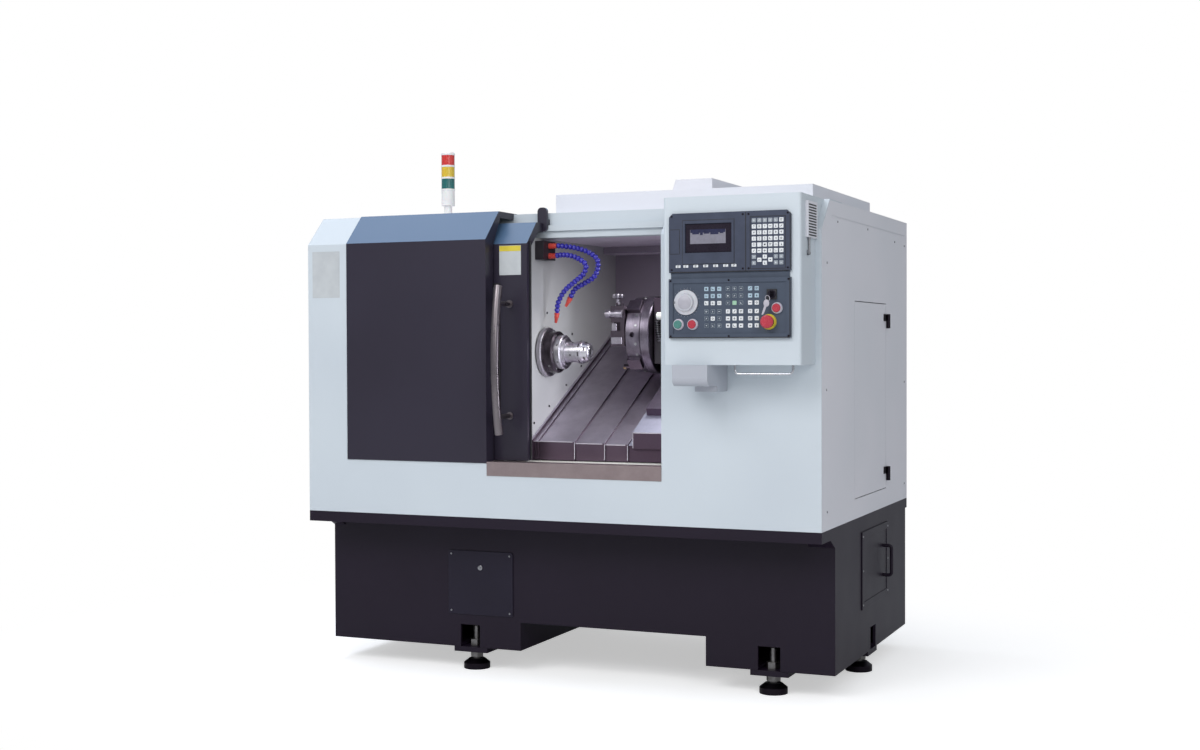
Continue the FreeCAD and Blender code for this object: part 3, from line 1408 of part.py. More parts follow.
def cross_slide():
    """The slide on the saddle that carries the turret's indexing box."""
    body = new_body("cross_slide")
    low = "saddle_top + slide_gap"
    outline = [slanted("slide_lower", low), slanted("slide_lower", "saddle_top + slide_thick"),
               slanted("slide_upper", "saddle_top + slide_thick"), slanted("slide_upper", low)]
    pad(body, "YZ_Plane", [outline], "saddle_left + slide_side", "saddle_left + saddle_width - slide_side")
    plane = "cover_low + (saddle_top + slide_thick / 2) / cos(slope) + "
    crown = [("turret_body_back", "turret_body_top - turret_body_slope"),
             ("turret_body_back - turret_body_slope", "turret_body_top"), ("turret_body_front", "turret_body_top")]
    box = [("turret_body_front", plane + "(turret_body_front - cover_front) * tan(slope)"),
           ("turret_body_back", plane + "(turret_body_back - cover_front) * tan(slope)")] + crown
    start = "turret_left + turret_thick + turret_ring_thick + turret_gap"
    pad(body, "YZ_Plane", [box], "saddle_left + slide_side", start + " + turret_body_width")
    low_box = [("turret_body_front", "turret_level - turret_body_under"),
               ("turret_body_back", "turret_level - turret_body_under")] + crown
    pad(body, "YZ_Plane", [low_box], start, "saddle_left + slide_side + 1")
    bore = [("turret_back", "turret_level", "turret_bore + bearing_clearance")]
    cut(body, "YZ_Plane", bore, start + " - 1", start + " + bearing_depth")


def turret():
    seat = {"across": "turret_left", "back": "turret_back", "up": "turret_level"}
    body = new_body("turret_disc", **seat)
    ring = "turret_thick + turret_ring_thick"
    turn(body, [("0", "0"), ("0", "turret_radius - turret_edge"), ("turret_edge", "turret_radius"),
                ("turret_thick - turret_groove", "turret_radius"), ("turret_thick", "turret_radius - turret_edge"),
                ("turret_thick + turret_groove", "turret_ring_radius"),
                (ring + " - edge_bevel", "turret_ring_radius"), (ring, "turret_ring_radius - edge_bevel"),
                (ring, "turret_bore"), (ring + " + turret_stub", "turret_bore"),
                (ring + " + turret_stub", "0")], "X")
    # each station has a socket in the rim, square to the turret's axis
    feature = body.newObject("PartDesign::Pocket", "station")
    sketch = new_sketch(body, "XY_Plane", "turret_radius - socket_depth")
    draw_circle(sketch, ("turret_thick / 2", "0"), "socket_radius")
    feature.Profile = sketch
    feature.Reversed = True
    tie(feature, "Length", "socket_depth + turret_edge")
    document.recompute()
    before = body.Shape.Volume
    pattern = body.newObject("PartDesign::PolarPattern", "stations")
    pattern.Originals = [feature]
    axis = [item for item in body.Origin.OriginFeatures if item.Role == "X_Axis"][0]
    pattern.Axis = (axis, [""])
    pattern.Angle = 360
    tie(pattern, "Occurrences", "turret_stations")
    body.Tip = pattern
    document.recompute()
    if body.Shape.Volume > before - 0.001:
        raise RuntimeError("The turret's stations were not cut")


def tool_holders():
    """Turning holders on every other station of the rim, and a boring holder on the face at the front."""
    seat = vector(amount("turret_left"), amount("turret_back"), amount("turret_level"))
    radius = amount("turret_radius")
    wide = amount("tool_block_width")
    high = amount("tool_block_height")
    length = amount("turret_thick - 2 * tool_block_inset")
    shank = amount("tool_shank")
    along = vector(1, 0, 0)
    block = Part.makeBox(length, wide, high,
                         seat + vector(amount("tool_block_inset"), -wide / 2, radius - amount("tool_block_seat")))
    rim = Part.makeCylinder(radius + amount("holder_gap"), amount("turret_thick"), seat, along)
    tool = Part.makeBox(amount("tool_length"), shank, shank,
                        seat + vector(-amount("tool_reach"), amount("tool_block_inset") - wide / 2,
                                      radius + high - amount("tool_drop") - shank))
    turning = block.cut(rim).fuse(tool).removeSplitter()
    holders = []
    for station in (1, 3, 5, 7):
        holder = turning.copy()
        holder.rotate(seat, along, 360 / amount("turret_stations") * station)
        holders.append(holder)

    reach = amount("boring_block_reach")
    wide = amount("boring_block_width")
    corner = seat + vector(-reach, -radius, -amount("boring_block_drop"))
    block = Part.makeBox(reach, wide, amount("boring_block_height"), corner)
    notch = amount("boring_notch")
    pocket = Part.makeBox(reach - amount("boring_plate"), notch, notch,
                          seat + vector(-reach - 1, -radius - 1, amount("boring_notch_rise")))
    middle = seat + vector(-reach, amount("boring_bar_side") - radius, amount("boring_bar_rise"))
    bar_reach = amount("boring_bar_reach")
    wall = amount("boring_sleeve_wall")
    bar = Part.makeCylinder(amount("boring_bar_radius"), reach + bar_reach, middle - along * bar_reach, along)
    sleeve = Part.makeCylinder(amount("boring_bar_radius") + wall, reach + wall, middle - along * wall, along)
    top = corner.z + amount("boring_block_height") - 1
    screws = [Part.makeCylinder(amount("clamp_screw_radius"), amount("clamp_screw_length"),
                                vector(corner.x + amount(place), middle.y, top))
              for place in ("clamp_screw_inset", "clamp_screw_inset + clamp_screw_pitch")]
    holders.append(block.cut(pocket).fuse([bar, sleeve] + screws).removeSplitter())
    made("tool_holders", Part.makeCompound(holders))


# ---------------------------------------------------------------- coolant
def coolant():
    block = new_body("coolant_manifold")
    pad(block, "YZ_Plane", [rectangle("manifold_front", "manifold_bottom", "manifold_back", "manifold_top")],
        "wall_plane", "wall_plane + manifold_thick")
    middle = amount("(manifold_front + manifold_back) / 2")
    start = amount("wall_plane + manifold_thick")
    top = amount("manifold_top")
    span = amount("hose_span")
    room = amount("hose_room")
    # each route in shares: to the right and the back of the span, down of the room over the chuck
    upper = [(0.262, 0.012, 0.062), (0.535, 0.047, 0.088), (0.791, 0.081, 0.139), (0.977, 0.105, 0.226),
             (1, 0.116, 0.336), (0.907, 0.128, 0.453), (0.686, 0.14, 0.533), (0.488, 0.151, 0.599),
             (0.384, 0.151, 0.708)]
    lower = [(0.233, -0.023, 0.175), (0.442, -0.047, 0.182), (0.651, -0.047, 0.226), (0.802, -0.035, 0.307),
             (0.744, -0.012, 0.416), (0.535, 0.023, 0.511), (0.302, 0.058, 0.62), (0.151, 0.081, 0.766),
             (0.116, 0.093, 0.898)]
    hoses = []
    nozzles = []
    inlet = vector(amount("nozzle_length * 0.8"), 0, 0)
    for route, drop in ((upper, "hose_upper_drop"), (lower, "hose_lower_drop")):
        points = [vector(start, middle, top - amount(drop)) + inlet]
        points += [vector(start + right * span, middle + back * span, top - down * room)
                   for right, back, down in route]
        curve = Part.BSplineCurve()
        curve.interpolate(Points=points, InitialTangent=vector(amount("hose_lead"), 0, 0),
                          FinalTangent=points[-1] - points[-2])
        hoses.append(ball_hose(curve))
        begin = Part.makeCone(amount("hose_radius + 1"), amount("hose_neck"), inlet.Length, points[0] - inlet,
                              vector(1, 0, 0))
        along = (points[-1] - points[-2]).normalize()
        tip = Part.makeCone(amount("nozzle_radius"), amount("nozzle_tip"), amount("nozzle_length"),
                            points[-1] + along * amount("nozzle_clearance"), along)
        nozzles.extend([begin, tip])
    made("coolant_hoses", Part.makeCompound(hoses))
    made("hose_nozzles", Part.makeCompound(nozzles))


def ball_hose(curve):
    """A ball-and-socket hose: rings of ten corners, wide at each ball and narrow at each joint."""
    length = curve.length()
    count = int(length / amount("hose_segment")) * 2
    sides = 10
    rings = []
    reference = vector(0, 1, 0)
    for index in range(count + 1):
        distance = length * index / count
        parameter = min(curve.parameterAtDistance(distance, curve.FirstParameter), curve.LastParameter)
        centre = curve.value(parameter)
        along = curve.tangent(parameter)[0]
        across = along.cross(reference).normalize()
        reference = across.cross(along).normalize()
        radius = amount("hose_radius") if index % 2 else amount("hose_neck")
        rings.append([centre + (across * math.cos(angle) + reference * math.sin(angle)) * radius
                      for angle in (2 * math.pi * side / sides for side in range(sides))])
    faces = [flat_face(rings[0]), flat_face(rings[-1])]
    for ring, following in zip(rings, rings[1:]):
        for side in range(sides):
            other = (side + 1) % sides
            faces.append(flat_face([ring[side], ring[other], following[other]]))
            faces.append(flat_face([ring[side], following[other], following[side]]))
    solid = Part.Solid(Part.makeShell(faces))
    return solid if solid.Volume > 0 else solid.reversed()


def flat_face(corners):
    return Part.Face(Part.makePolygon(corners + corners[:1]))


# ---------------------------------------------------------------- build and write
base_frame()
levelling_feet()
base_covers()
front_panel()
side_panels()
lintel()
fixed_cover()
sliding_door()
door_handle()
sill_guard()
roof_covers()
signal_tower()
control_housing()
panels()
membrane_keys()
hand_controls()
below_housing()
louvre_cover()
side_door()
cabin()
way_covers()
slant_bed()
spindle_group()
saddle()
cross_slide()
turret()
tool_holders()
coolant()

document.recompute()
for item in document.Objects:
    if "Invalid" in item.State or "Error" in item.State:
        raise RuntimeError("%s is in state %s" % (item.Label, item.State))
for item in SUBPARTS:
    if item.Shape.isNull() or not item.Shape.isValid() or not item.Shape.Solids:
        raise RuntimeError("%s has no valid solid" % item.Label)

os.makedirs("parts", exist_ok=True)
for item in SUBPARTS:
    item.Shape.exportStep("parts/%s.step" % item.Label)
box = Part.makeCompound([item.Shape for item in SUBPARTS]).BoundBox
print("sub-parts %d" % len(SUBPARTS))
print("outline %.1f..%.1f  %.1f..%.1f  %.1f..%.1f" % (box.XMin, box.XMax, box.YMin, box.YMax, box.ZMin, box.ZMax))
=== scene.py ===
# %% [markdown]
# # A small slant-bed turning lathe
# The machine is a welded black base, a pale sheet-metal enclosure with a dark sliding door, a control
# station that stands out at the right, and the working space behind the open door: a collet spindle, an
# eight-station turret, telescopic covers on a slanted bed and two segmented coolant hoses. The solids
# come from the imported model. This file gives them their finishes and adds what is too small or too soft
# for it: screws, key legends, seals, dial marks, cutting inserts and the cups of the hoses.

# %% Load the machine's solids
import math
from contextlib import contextmanager

import bmesh
import bpy
from mathutils import Matrix, Vector


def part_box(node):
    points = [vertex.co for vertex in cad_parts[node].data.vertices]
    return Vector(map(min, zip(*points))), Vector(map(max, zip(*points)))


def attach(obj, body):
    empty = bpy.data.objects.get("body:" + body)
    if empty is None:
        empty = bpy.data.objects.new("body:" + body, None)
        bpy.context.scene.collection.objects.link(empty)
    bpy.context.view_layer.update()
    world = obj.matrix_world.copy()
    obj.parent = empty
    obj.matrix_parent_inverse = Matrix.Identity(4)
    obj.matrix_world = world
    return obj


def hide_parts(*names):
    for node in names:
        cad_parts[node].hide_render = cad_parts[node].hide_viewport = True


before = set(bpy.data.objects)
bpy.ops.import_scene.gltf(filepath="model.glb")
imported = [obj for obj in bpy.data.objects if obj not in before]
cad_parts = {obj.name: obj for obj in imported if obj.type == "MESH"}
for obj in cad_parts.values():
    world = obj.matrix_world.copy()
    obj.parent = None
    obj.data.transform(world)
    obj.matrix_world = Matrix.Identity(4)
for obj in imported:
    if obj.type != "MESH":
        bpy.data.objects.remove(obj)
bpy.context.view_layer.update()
scene = bpy.context.scene

# %% [markdown]
# Drawings of such a machine measure from its left side, its front sheet and the floor, in millimetres.
# One function turns such a place into the scene's metres. It starts from the front panel's own corner, so
# every later place stays true to the solids.

# %% Places on the machine
MM = 0.001
panel_corner = Vector(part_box("front_panel")[0])


def at(across, back, up):
    """A place in millimetres from the left side, the front sheet and the floor."""
    return Vector((panel_corner.x + across * MM, panel_corner.y + back * MM, up * MM))


print("left edge, front sheet:", at(0, 0, 0)[:])

# %% [markdown]
# The photographer stood to the right of the machine, about five metres away, at chest height, with a
# slightly long lens. The view comes from fitting the machine's straight edges, so it is given as a place,
# a turn to the left, a small downward tilt and a trace of roll.

# %% Camera
CAMERA_PLACE = at(3137.4, -4731.6, 1131.9)
TURN_LEFT = math.radians(23.163)
TILT_DOWN = math.radians(1.101)
ROLL = math.radians(-0.202)

lens = bpy.data.cameras.new("photograph_lens")
lens.lens = 47.66
lens.sensor_width = 36


def add_object(name, data):
    """A new object in the scene."""
    thing = bpy.data.objects.new(name, data)
    scene.collection.objects.link(thing)
    return thing


camera = add_object("photograph_camera", lens)
camera_turn = (Matrix.Rotation(TURN_LEFT, 4, "Z") @ Matrix.Rotation(math.pi / 2 - TILT_DOWN, 4, "X")
               @ Matrix.Rotation(ROLL, 4, "Z"))
camera.matrix_world = Matrix.Translation(CAMERA_PLACE) @ camera_turn
scene.camera = camera
scene.view_settings.view_transform = "Standard"

# %% [markdown]
# A material is a small graph of nodes. One helper adds a node, sets its own properties and fills or links
# its inputs. A second one turns the sRGB hex values that a paint card gives into the linear numbers that
# the shader wants.

# %% Node and colour helpers
def add_node(tree, kind, inputs=None, **settings):
    """Adds a node. The inputs are plain values or the output sockets of other nodes."""
    node = tree.nodes.new(kind)
    for name, value in settings.items():
        setattr(node, name, value)
    for name, value in (inputs or {}).items():
        if isinstance(value, bpy.types.NodeSocket):
            tree.links.new(value, node.inputs[name])
        else:
            node.inputs[name].default_value = value
    return node


def colour(code):
    """An sRGB hex colour as linear red, green, blue and alpha."""
    channels = [int(code[place:place + 2], 16) / 255 for place in (0, 2, 4)]
    linear = [part / 12.92 if part <= 0.04045 else ((part + 0.055) / 1.055) ** 2.4 for part in channels]
    return (*linear, 1.0)


def new_surface(name, **shader_inputs):
    """An empty material with one principled shader. Returns the material, its tree and the shader."""
    material = bpy.data.materials.new(name)
    material.use_nodes = True
    tree = material.node_tree
    tree.nodes.clear()
    shader = add_node(tree, "ShaderNodeBsdfPrincipled")
    for key, value in shader_inputs.items():
        shader.inputs[key.replace("_", " ")].default_value = value
    add_node(tree, "ShaderNodeOutputMaterial", {"Surface": shader.outputs["BSDF"]})
    return material, tree, shader


def place_in(tree, stretch=(1, 1, 1), centre=(0, 0, 0)):
    """The object's own coordinates in metres, with a centre and a stretch."""
    where = add_node(tree, "ShaderNodeTexCoord").outputs["Object"]
    shift = add_node(tree, "ShaderNodeVectorMath", {0: where, 1: tuple(-part for part in centre)})
    scaled = add_node(tree, "ShaderNodeVectorMath", {0: shift.outputs[0], 1: stretch}, operation="MULTIPLY")
    return scaled.outputs[0]


def grain(tree, size_mm, vector=None, detail=3.0, roughness=0.5):
    """Noise whose blotches are about size_mm across."""
    source = vector or place_in(tree)
    return add_node(tree, "ShaderNodeTexNoise", {"Vector": source, "Scale": 1 / (size_mm * MM), "Detail": detail,
                                                "Roughness": roughness}).outputs["Fac"]


def sum_of(tree, operation, first, second=0.5):
    """One step of arithmetic on numbers or sockets."""
    return add_node(tree, "ShaderNodeMath", {0: first, 1: second}, operation=operation).outputs[0]


def remap(tree, value, start, end, low=0.0, high=1.0, **settings):
    """Maps the range from start to end to the range from low to high."""
    ends = {"Value": value, "From Min": start, "From Max": end, "To Min": low, "To Max": high}
    return add_node(tree, "ShaderNodeMapRange", ends, **settings).outputs["Result"]


def between(tree, factor, low, high):
    """Maps a noise's useful middle band to a range of numbers."""
    return remap(tree, factor, 0.3, 0.7, low, high)


def blend_colours(tree, factor, first, second):
    """Mixes two colours by a factor. Each is a hex value or a socket."""
    ends = [end if isinstance(end, bpy.types.NodeSocket) else colour(end) for end in (first, second)]
    mix = add_node(tree, "ShaderNodeMix", {"Factor": factor, "A": ends[0], "B": ends[1]}, data_type="RGBA")
    return mix.outputs["Result"]


def clouded(tree, size_mm, light, dark, detail=3.0, roughness=0.5):
    """Two close tones in soft patches that are about size_mm across."""
    return blend_colours(tree, between(tree, grain(tree, size_mm, None, detail, roughness), 0, 1), light, dark)


def bump(tree, height, depth_mm, soft_edge_mm=0.0):
    """A surface relief of a real depth, over edges that are broken by a real radius."""
    inputs = {"Height": height, "Distance": depth_mm * MM, "Strength": 1.0}
    if soft_edge_mm:
        edge = add_node(tree, "ShaderNodeBevel", {"Radius": soft_edge_mm * MM}, samples=4)
        inputs["Normal"] = edge.outputs["Normal"]
    return add_node(tree, "ShaderNodeBump", inputs).outputs["Normal"]


# %% [markdown]
# The enclosure and the base are steel sheet with baked enamel. The pale grey is a satin powder coat: under
# light it shows a faint orange peel about four millimetres across and a trace of tone between areas. The
# dark door enamel is glossier and bluish, and its sloping shoulder has a painted reflection of the sky in
# its colour. The base has a thick near-black enamel over welds and plate that isn't quite flat.

# %% Enamels
def dress(tree, shader, tint, roughness, normal):
    """Links a surface's colour, roughness and relief."""
    tree.links.new(tint, shader.inputs["Base Color"])
    tree.links.new(roughness, shader.inputs["Roughness"])
    tree.links.new(normal, shader.inputs["Normal"])


def by_lean(tree, tint, other, start, full):
    """Another colour where a face leans: none where the normal's upward part is at start, all of it at full."""
    way = add_node(tree, "ShaderNodeSeparateXYZ", {0: add_node(tree, "ShaderNodeNewGeometry").outputs["Normal"]})
    return blend_colours(tree, remap(tree, way.outputs["Z"], start, full), tint, other)


def enamel(name, light, dark, roughness, peel_mm, peel_depth_mm, edge_mm, coat=0.0, gloss=0.5, slope=None,
           under=None):
    """Baked paint: two close tones in broad clouds, an orange-peel relief and slightly rounded edges. Faces
    that lean back to the sky have the slope colour where one is given: a painted reflection of the sky. Faces
    that look down have the under colour where one is given: painted light that makes them lighter."""
    material, tree, shader = new_surface(name, Coat_Weight=coat, Coat_Roughness=0.2, Specular_IOR_Level=gloss)
    tint = clouded(tree, 420, light, dark, 1.0)
    # Painted reflection: faces that lean back take the slope colour, as if they mirrored the sky.
    if slope:
        tint = by_lean(tree, tint, slope, 0.15, 0.45)
    # Painted light: faces that look down take the under colour, lighter, as if lit from below.
    if under:
        tint = by_lean(tree, tint, under, -0.3, -0.8)
    patches = grain(tree, 150, detail=1.0)
    dress(tree, shader, tint, between(tree, patches, roughness - 0.012, roughness + 0.012),
          bump(tree, grain(tree, peel_mm, detail=1.0), peel_depth_mm, edge_mm))
    return material


pale_powder_coat = enamel("pale_grey_powder_coat_on_steel", "cdd5db", "c8d0d7", 0.42, 4, 0.02, 1.6, gloss=0.3)
# The right side, back and vent have the front's powder coat painted lighter: painted light on faces the lamps light
# less.
powder_coat_with_painted_light = enamel("pale_powder_coat_with_painted_light_on_side_steel", "e0dfe5", "dadbe1", 0.44, 4, 0.02, 1.6, gloss=0.3)
roof_powder_coat = enamel("pale_roof_powder_coat_on_steel", "e4e3e9", "dde0e6", 0.42, 4, 0.02, 1.6, gloss=0.4)
# The box under the control station has the pale enamel painted darker: painted shade of the housing above it.
box_enamel_in_painted_shade = enamel("pale_enamel_in_painted_shade_on_folded_box", "b4b7bf", "aeb1ba", 0.42, 4, 0.02, 1.6, gloss=0.3)
cream_enamel = enamel("cream_enamel_on_steel", "efeee4", "e6e4da", 0.4, 5, 0.02, 1.2)
cabin_enamel = enamel("washable_cabin_enamel_on_steel", "bcbdbd", "b5b5b6", 0.42, 5, 0.02, 1.0, gloss=0.3)
# The cabin liner is the cabin's enamel painted darker as painted shade, with painted light on downward faces.
cabin_enamel_in_painted_shade = enamel("cabin_enamel_with_painted_shade_and_underside_light", "948a99", "8b818f", 0.42, 5, 0.02, 1.0, gloss=0.3, under="d6cbdc")
# The door's lighter bluish shoulder colour is a painted reflection of the sky.
door_enamel = enamel("blue_black_enamel_on_steel", "2c2736", "292432", 0.36, 3, 0.02, 1.8, coat=0.08, gloss=0.4,
                     slope="4c6786")
base_enamel = enamel("near_black_enamel_on_steel", "1e1525", "1b1221", 0.46, 7, 0.05, 2.2, gloss=0.25)
cover_plate_enamel = enamel("black_enamel_on_thin_plate", "211c2d", "1d1827", 0.42, 5, 0.04, 1.5, gloss=0.25)

# %% [markdown]
# Bare metals come next. The door handle and the rail under the control station are chromed tube. The sill
# and the telescopic covers are stainless sheet with a fine brushed grain and a film of oil, and the chuck
# and the turret are turned, so their marks run in rings round the axis they were turned on. On the covers,
# the saddle, the slide and the tool holders the upright faces are darker than the faces that look up: painted
# shade.

# %% Metals
def brushed_metal(name, light, dark, roughness, stretch, line_mm=0.6, depth_mm=0.02, edge_mm=0.6,
                  stain_mm=90, painted_upright_shade=None):
    """Sheet with drawn lines: noise that is stretched along the brushing, and oily patches. Where an upright
    shade is given, the upright faces carry that darker colour: painted shade against the lit faces that look up."""
    material, tree, shader = new_surface(name, Metallic=1.0)
    lines = grain(tree, line_mm, place_in(tree, stretch), detail=4.0, roughness=0.6)
    stains = grain(tree, stain_mm, detail=5.0, roughness=0.6)
    tint = blend_colours(tree, between(tree, stains, 0, 1), light, dark)
    # Painted shade: upright faces take the darker colour, the faces that look up stay light.
    if painted_upright_shade:
        tint = by_lean(tree, tint, painted_upright_shade, 0.55, 0.15)
    mixed = sum_of(tree, "MULTIPLY", lines, stains)
    dress(tree, shader, tint, remap(tree, mixed, 0.1, 0.45, roughness - 0.08, roughness + 0.12),
          bump(tree, lines, depth_mm, edge_mm))
    return material


def turned_metal(name, light, dark, roughness, axis_place, ring_mm=1.2):
    """Lathe-turned metal: rings round an axis that runs left to right through axis_place."""
    material, tree, shader = new_surface(name, Metallic=1.0)
    parts = add_node(tree, "ShaderNodeSeparateXYZ", {"Vector": place_in(tree, centre=axis_place)}).outputs
    flat = add_node(tree, "ShaderNodeCombineXYZ", {"Y": parts["Y"], "Z": parts["Z"]})
    radius = add_node(tree, "ShaderNodeVectorMath", {0: flat.outputs[0]}, operation="LENGTH").outputs["Value"]
    along = sum_of(tree, "ADD", radius, parts["X"])
    marks = add_node(tree, "ShaderNodeTexNoise", {"W": along, "Scale": 1 / (ring_mm * MM), "Detail": 3.0},
                     noise_dimensions="1D").outputs["Fac"]
    dress(tree, shader, clouded(tree, 30, light, dark, 4.0), between(tree, marks, roughness - 0.06, roughness + 0.1),
          bump(tree, marks, 0.03, 0.5))
    return material


ACROSS, UPRIGHT, DOWN_SLOPE = (0.02, 1, 1), (1, 1, 0.02), (1, 0.03, 0.06)
CHUCK_BACK, CHUCK_UP = 250, 1106
TURRET_BACK, TURRET_UP = 480, 1165
SPINDLE_AXIS = at(803, CHUCK_BACK, CHUCK_UP)
TURRET_AXIS = at(1056, TURRET_BACK, TURRET_UP)
ALL_WAYS = (1, 1, 1)

chromed_tube = brushed_metal("chromed_steel_tube", "827b7e", "766f73", 0.3, UPRIGHT, 0.5, 0.003, 0.4, 90)
chromed_rod = brushed_metal("chromed_steel_rod", "cfd0d4", "bcbdc2", 0.18, ACROSS, 0.5, 0.01, 0.3, 40)
sill_stainless = brushed_metal("brushed_stainless_sill", "b3a2a2", "9e8e8e", 0.36, ACROSS, 0.8, 0.02, 0.8)
cover_steel = brushed_metal("ground_stainless_way_cover", "d5cdd9", "bcb4c1", 0.38, DOWN_SLOPE, 0.9, 0.02, 0.8,
                            painted_upright_shade="6a5a68")
saddle_steel = brushed_metal("ground_steel_saddle", "c2c3d3", "acacbc", 0.52, DOWN_SLOPE, 0.9, 0.02, 1.0,
                             painted_upright_shade="5b4c5a")
slide_steel = brushed_metal("oiled_steel_slide", "8a8090", "706676", 0.4, ALL_WAYS, 1.5, 0.02, 1.0, painted_upright_shade="574a57")
zinc_steel = brushed_metal("zinc_plated_bolt_steel", "8f8d8c", "6f6c6b", 0.4, UPRIGHT, 1.0, 0.04, 0.8, 20)
screw_steel = brushed_metal("nickelled_screw_steel", "a8a8ab", "8e8e92", 0.3, ALL_WAYS, 1.0, 0.01, 0.2, 8)
black_oxide_bright = brushed_metal("black_chromed_lock_steel", "4a454f", "3a3540", 0.22, ALL_WAYS, 1.2, 0.01, 0.4, 30)
black_oxide = brushed_metal("black_oxide_steel", "2f2a31", "241f27", 0.38, ALL_WAYS, 1.2, 0.02, 0.8, 30)
chuck_steel = turned_metal("turned_and_ground_chuck_steel", "d2cfd6", "bfbcc3", 0.3, SPINDLE_AXIS)
flange_steel = turned_metal("ground_flange_steel", "b9b5bb", "a19da4", 0.34, SPINDLE_AXIS)
dark_ring_steel = turned_metal("oiled_dark_chuck_steel", "564f56", "403a41", 0.32, SPINDLE_AXIS)
turret_steel = turned_metal("ground_turret_steel", "857e8a", "655e6a", 0.32, TURRET_AXIS)
holder_steel = brushed_metal("milled_tool_holder_steel", "6f6873", "554e58", 0.34, ALL_WAYS, 1.5, 0.03, 0.8, 25,
                             painted_upright_shade="5d545d")

# %% [markdown]
# Plastics, glass and rubber finish the list. The control unit has moulded fronts with a fine spark-eroded
# texture, flat membrane keys and a dark glossy display. The hose segments are acetal, and the lamps and the
# mushroom buttons are polycarbonate, clear enough to glow a little at their edges.

# %% Plastics and glass
def moulded_plastic(name, light, dark, roughness, texture_mm=2.0, depth_mm=0.01, glow=0.0, gloss=0.5):
    """Injection-moulded plastic with a fine even texture and half-millimetre edges."""
    material, tree, shader = new_surface(name, Subsurface_Weight=glow, Subsurface_Scale=0.004,
                                         Specular_IOR_Level=gloss)
    fine = grain(tree, texture_mm, detail=2.0)
    dress(tree, shader, clouded(tree, 40, light, dark, 2.0), between(tree, fine, roughness - 0.05, roughness + 0.06),
          bump(tree, fine, depth_mm, 0.5))
    return material


TOWER = (341, 400)
LENS_RIBS = 48


def lamp_lens(name, light, dark):
    """A polycarbonate lens with fine upright ribs inside, which break its reflections."""
    material, tree, shader = new_surface(name, Roughness=0.18, Subsurface_Weight=0.25, Subsurface_Scale=0.01,
                                         Coat_Weight=0.6, Coat_Roughness=0.05)
    centred = place_in(tree, centre=at(*TOWER, 1700))
    around = add_node(tree, "ShaderNodeTexGradient", {"Vector": centred}, gradient_type="RADIAL").outputs["Fac"]
    wave = sum_of(tree, "SINE", sum_of(tree, "MULTIPLY", around, 2 * math.pi * LENS_RIBS))
    tree.links.new(blend_colours(tree, remap(tree, wave, -1.0, 1.0), light, dark), shader.inputs["Base Color"])
    tree.links.new(bump(tree, wave, 0.2), shader.inputs["Normal"])
    return material


panel_plastic = moulded_plastic("textured_slate_abs", "404658", "3a4051", 0.5, 1.5, 0.03, gloss=0.3)
panel_film = moulded_plastic("slate_polyester_film", "4a5362", "454d5c", 0.46, 2.5, gloss=0.25)
key_film = moulded_plastic("white_key_polyester", "e6e8ea", "d9dcdf", 0.4)
grey_key_film = moulded_plastic("grey_key_polyester", "9aa0a8", "8b929b", 0.42)
blue_key_film = moulded_plastic("pale_blue_key_polyester", "adc3d1", "9fb5c4", 0.42)
green_key_film = moulded_plastic("green_key_polyester", "9fc6ab", "8fb79c", 0.42)
outline_key_film = moulded_plastic("outlined_slate_key_polyester", "87939a", "7b878f", 0.45)
legend_ink = moulded_plastic("dark_screen_print_ink", "1d2430", "181e29", 0.5)
pale_ink = moulded_plastic("white_screen_print_ink", "dfe3e6", "d2d7db", 0.5)
bezel_plastic = moulded_plastic("dark_tinted_acrylic", "221b29", "1c1522", 0.3, 2.0, 0.005, gloss=0.2)
white_abs = moulded_plastic("white_abs", "f3f1ee", "eae8e5", 0.32, glow=0.1)
dial_plastic = moulded_plastic("pale_grey_dial_abs", "c9cad0", "bbbcc3", 0.3, 1.5, 0.02, glow=0.05)
black_rubber = moulded_plastic("black_nitrile_rubber", "232226", "1c1b1f", 0.6, 2.0, 0.04)
dial_cap_plastic = moulded_plastic("lilac_grey_dial_cap_abs", "b4b2bb", "a6a4ad", 0.34, 1.5, 0.02)
# The bezels' pale colour is partly their own and partly a painted highlight on their rims.
bezel_plastic_with_painted_highlight = moulded_plastic("off_white_bezel_polycarbonate_with_painted_highlight", "d8d3dd", "c9c4cf", 0.28, glow=0.05)
plate_film = moulded_plastic("pale_grey_polyester_plate", "c3c7c9", "b9bdc0", 0.45)
bright_tool_steel = brushed_metal("ground_bright_tool_steel", "bdb8c1", "938d98", 0.36, ALL_WAYS, 1.5, 0.02, 0.5, 12)
# Pale steel for the spare key; on the covers' lips the same pale colour is a painted highlight of their edges.
pale_key_and_painted_edge_highlight = moulded_plastic("pale_steel_and_painted_edge_highlight", "c4bfc8", "aeaab4", 0.3)
# Dark paint for the coolant manifold; on the slide the same colour is painted shade in a recess.
dark_paint_and_recess_shade = moulded_plastic("dark_paint_and_painted_recess_shade", "2b262d", "231e25", 0.4, 3.0, 0.02)
hose_acetal = moulded_plastic("blue_acetal", "352fa8", "2b2692", 0.16, 3.0, gloss=0.6)
nozzle_acetal = moulded_plastic("orange_red_acetal", "cc4a40", "b43b33", 0.28, 3.0)
button_green_plastic = moulded_plastic("green_button_polycarbonate", "52877f", "487a73", 0.25, 3.0, glow=0.05)
button_red_plastic = moulded_plastic("red_button_polycarbonate", "bf4150", "b03644", 0.25, 3.0, glow=0.05)
stop_yellow_plastic = moulded_plastic("yellow_abs", "dfcb48", "d0bb38", 0.35, glow=0.05)
green_lens = lamp_lens("green_polycarbonate_lens", "0c7370", "075b5a")
amber_lens = lamp_lens("amber_polycarbonate_lens", "e9c93c", "d9b62c")
red_lens = lamp_lens("red_polycarbonate_lens", "e0352f", "c92723")
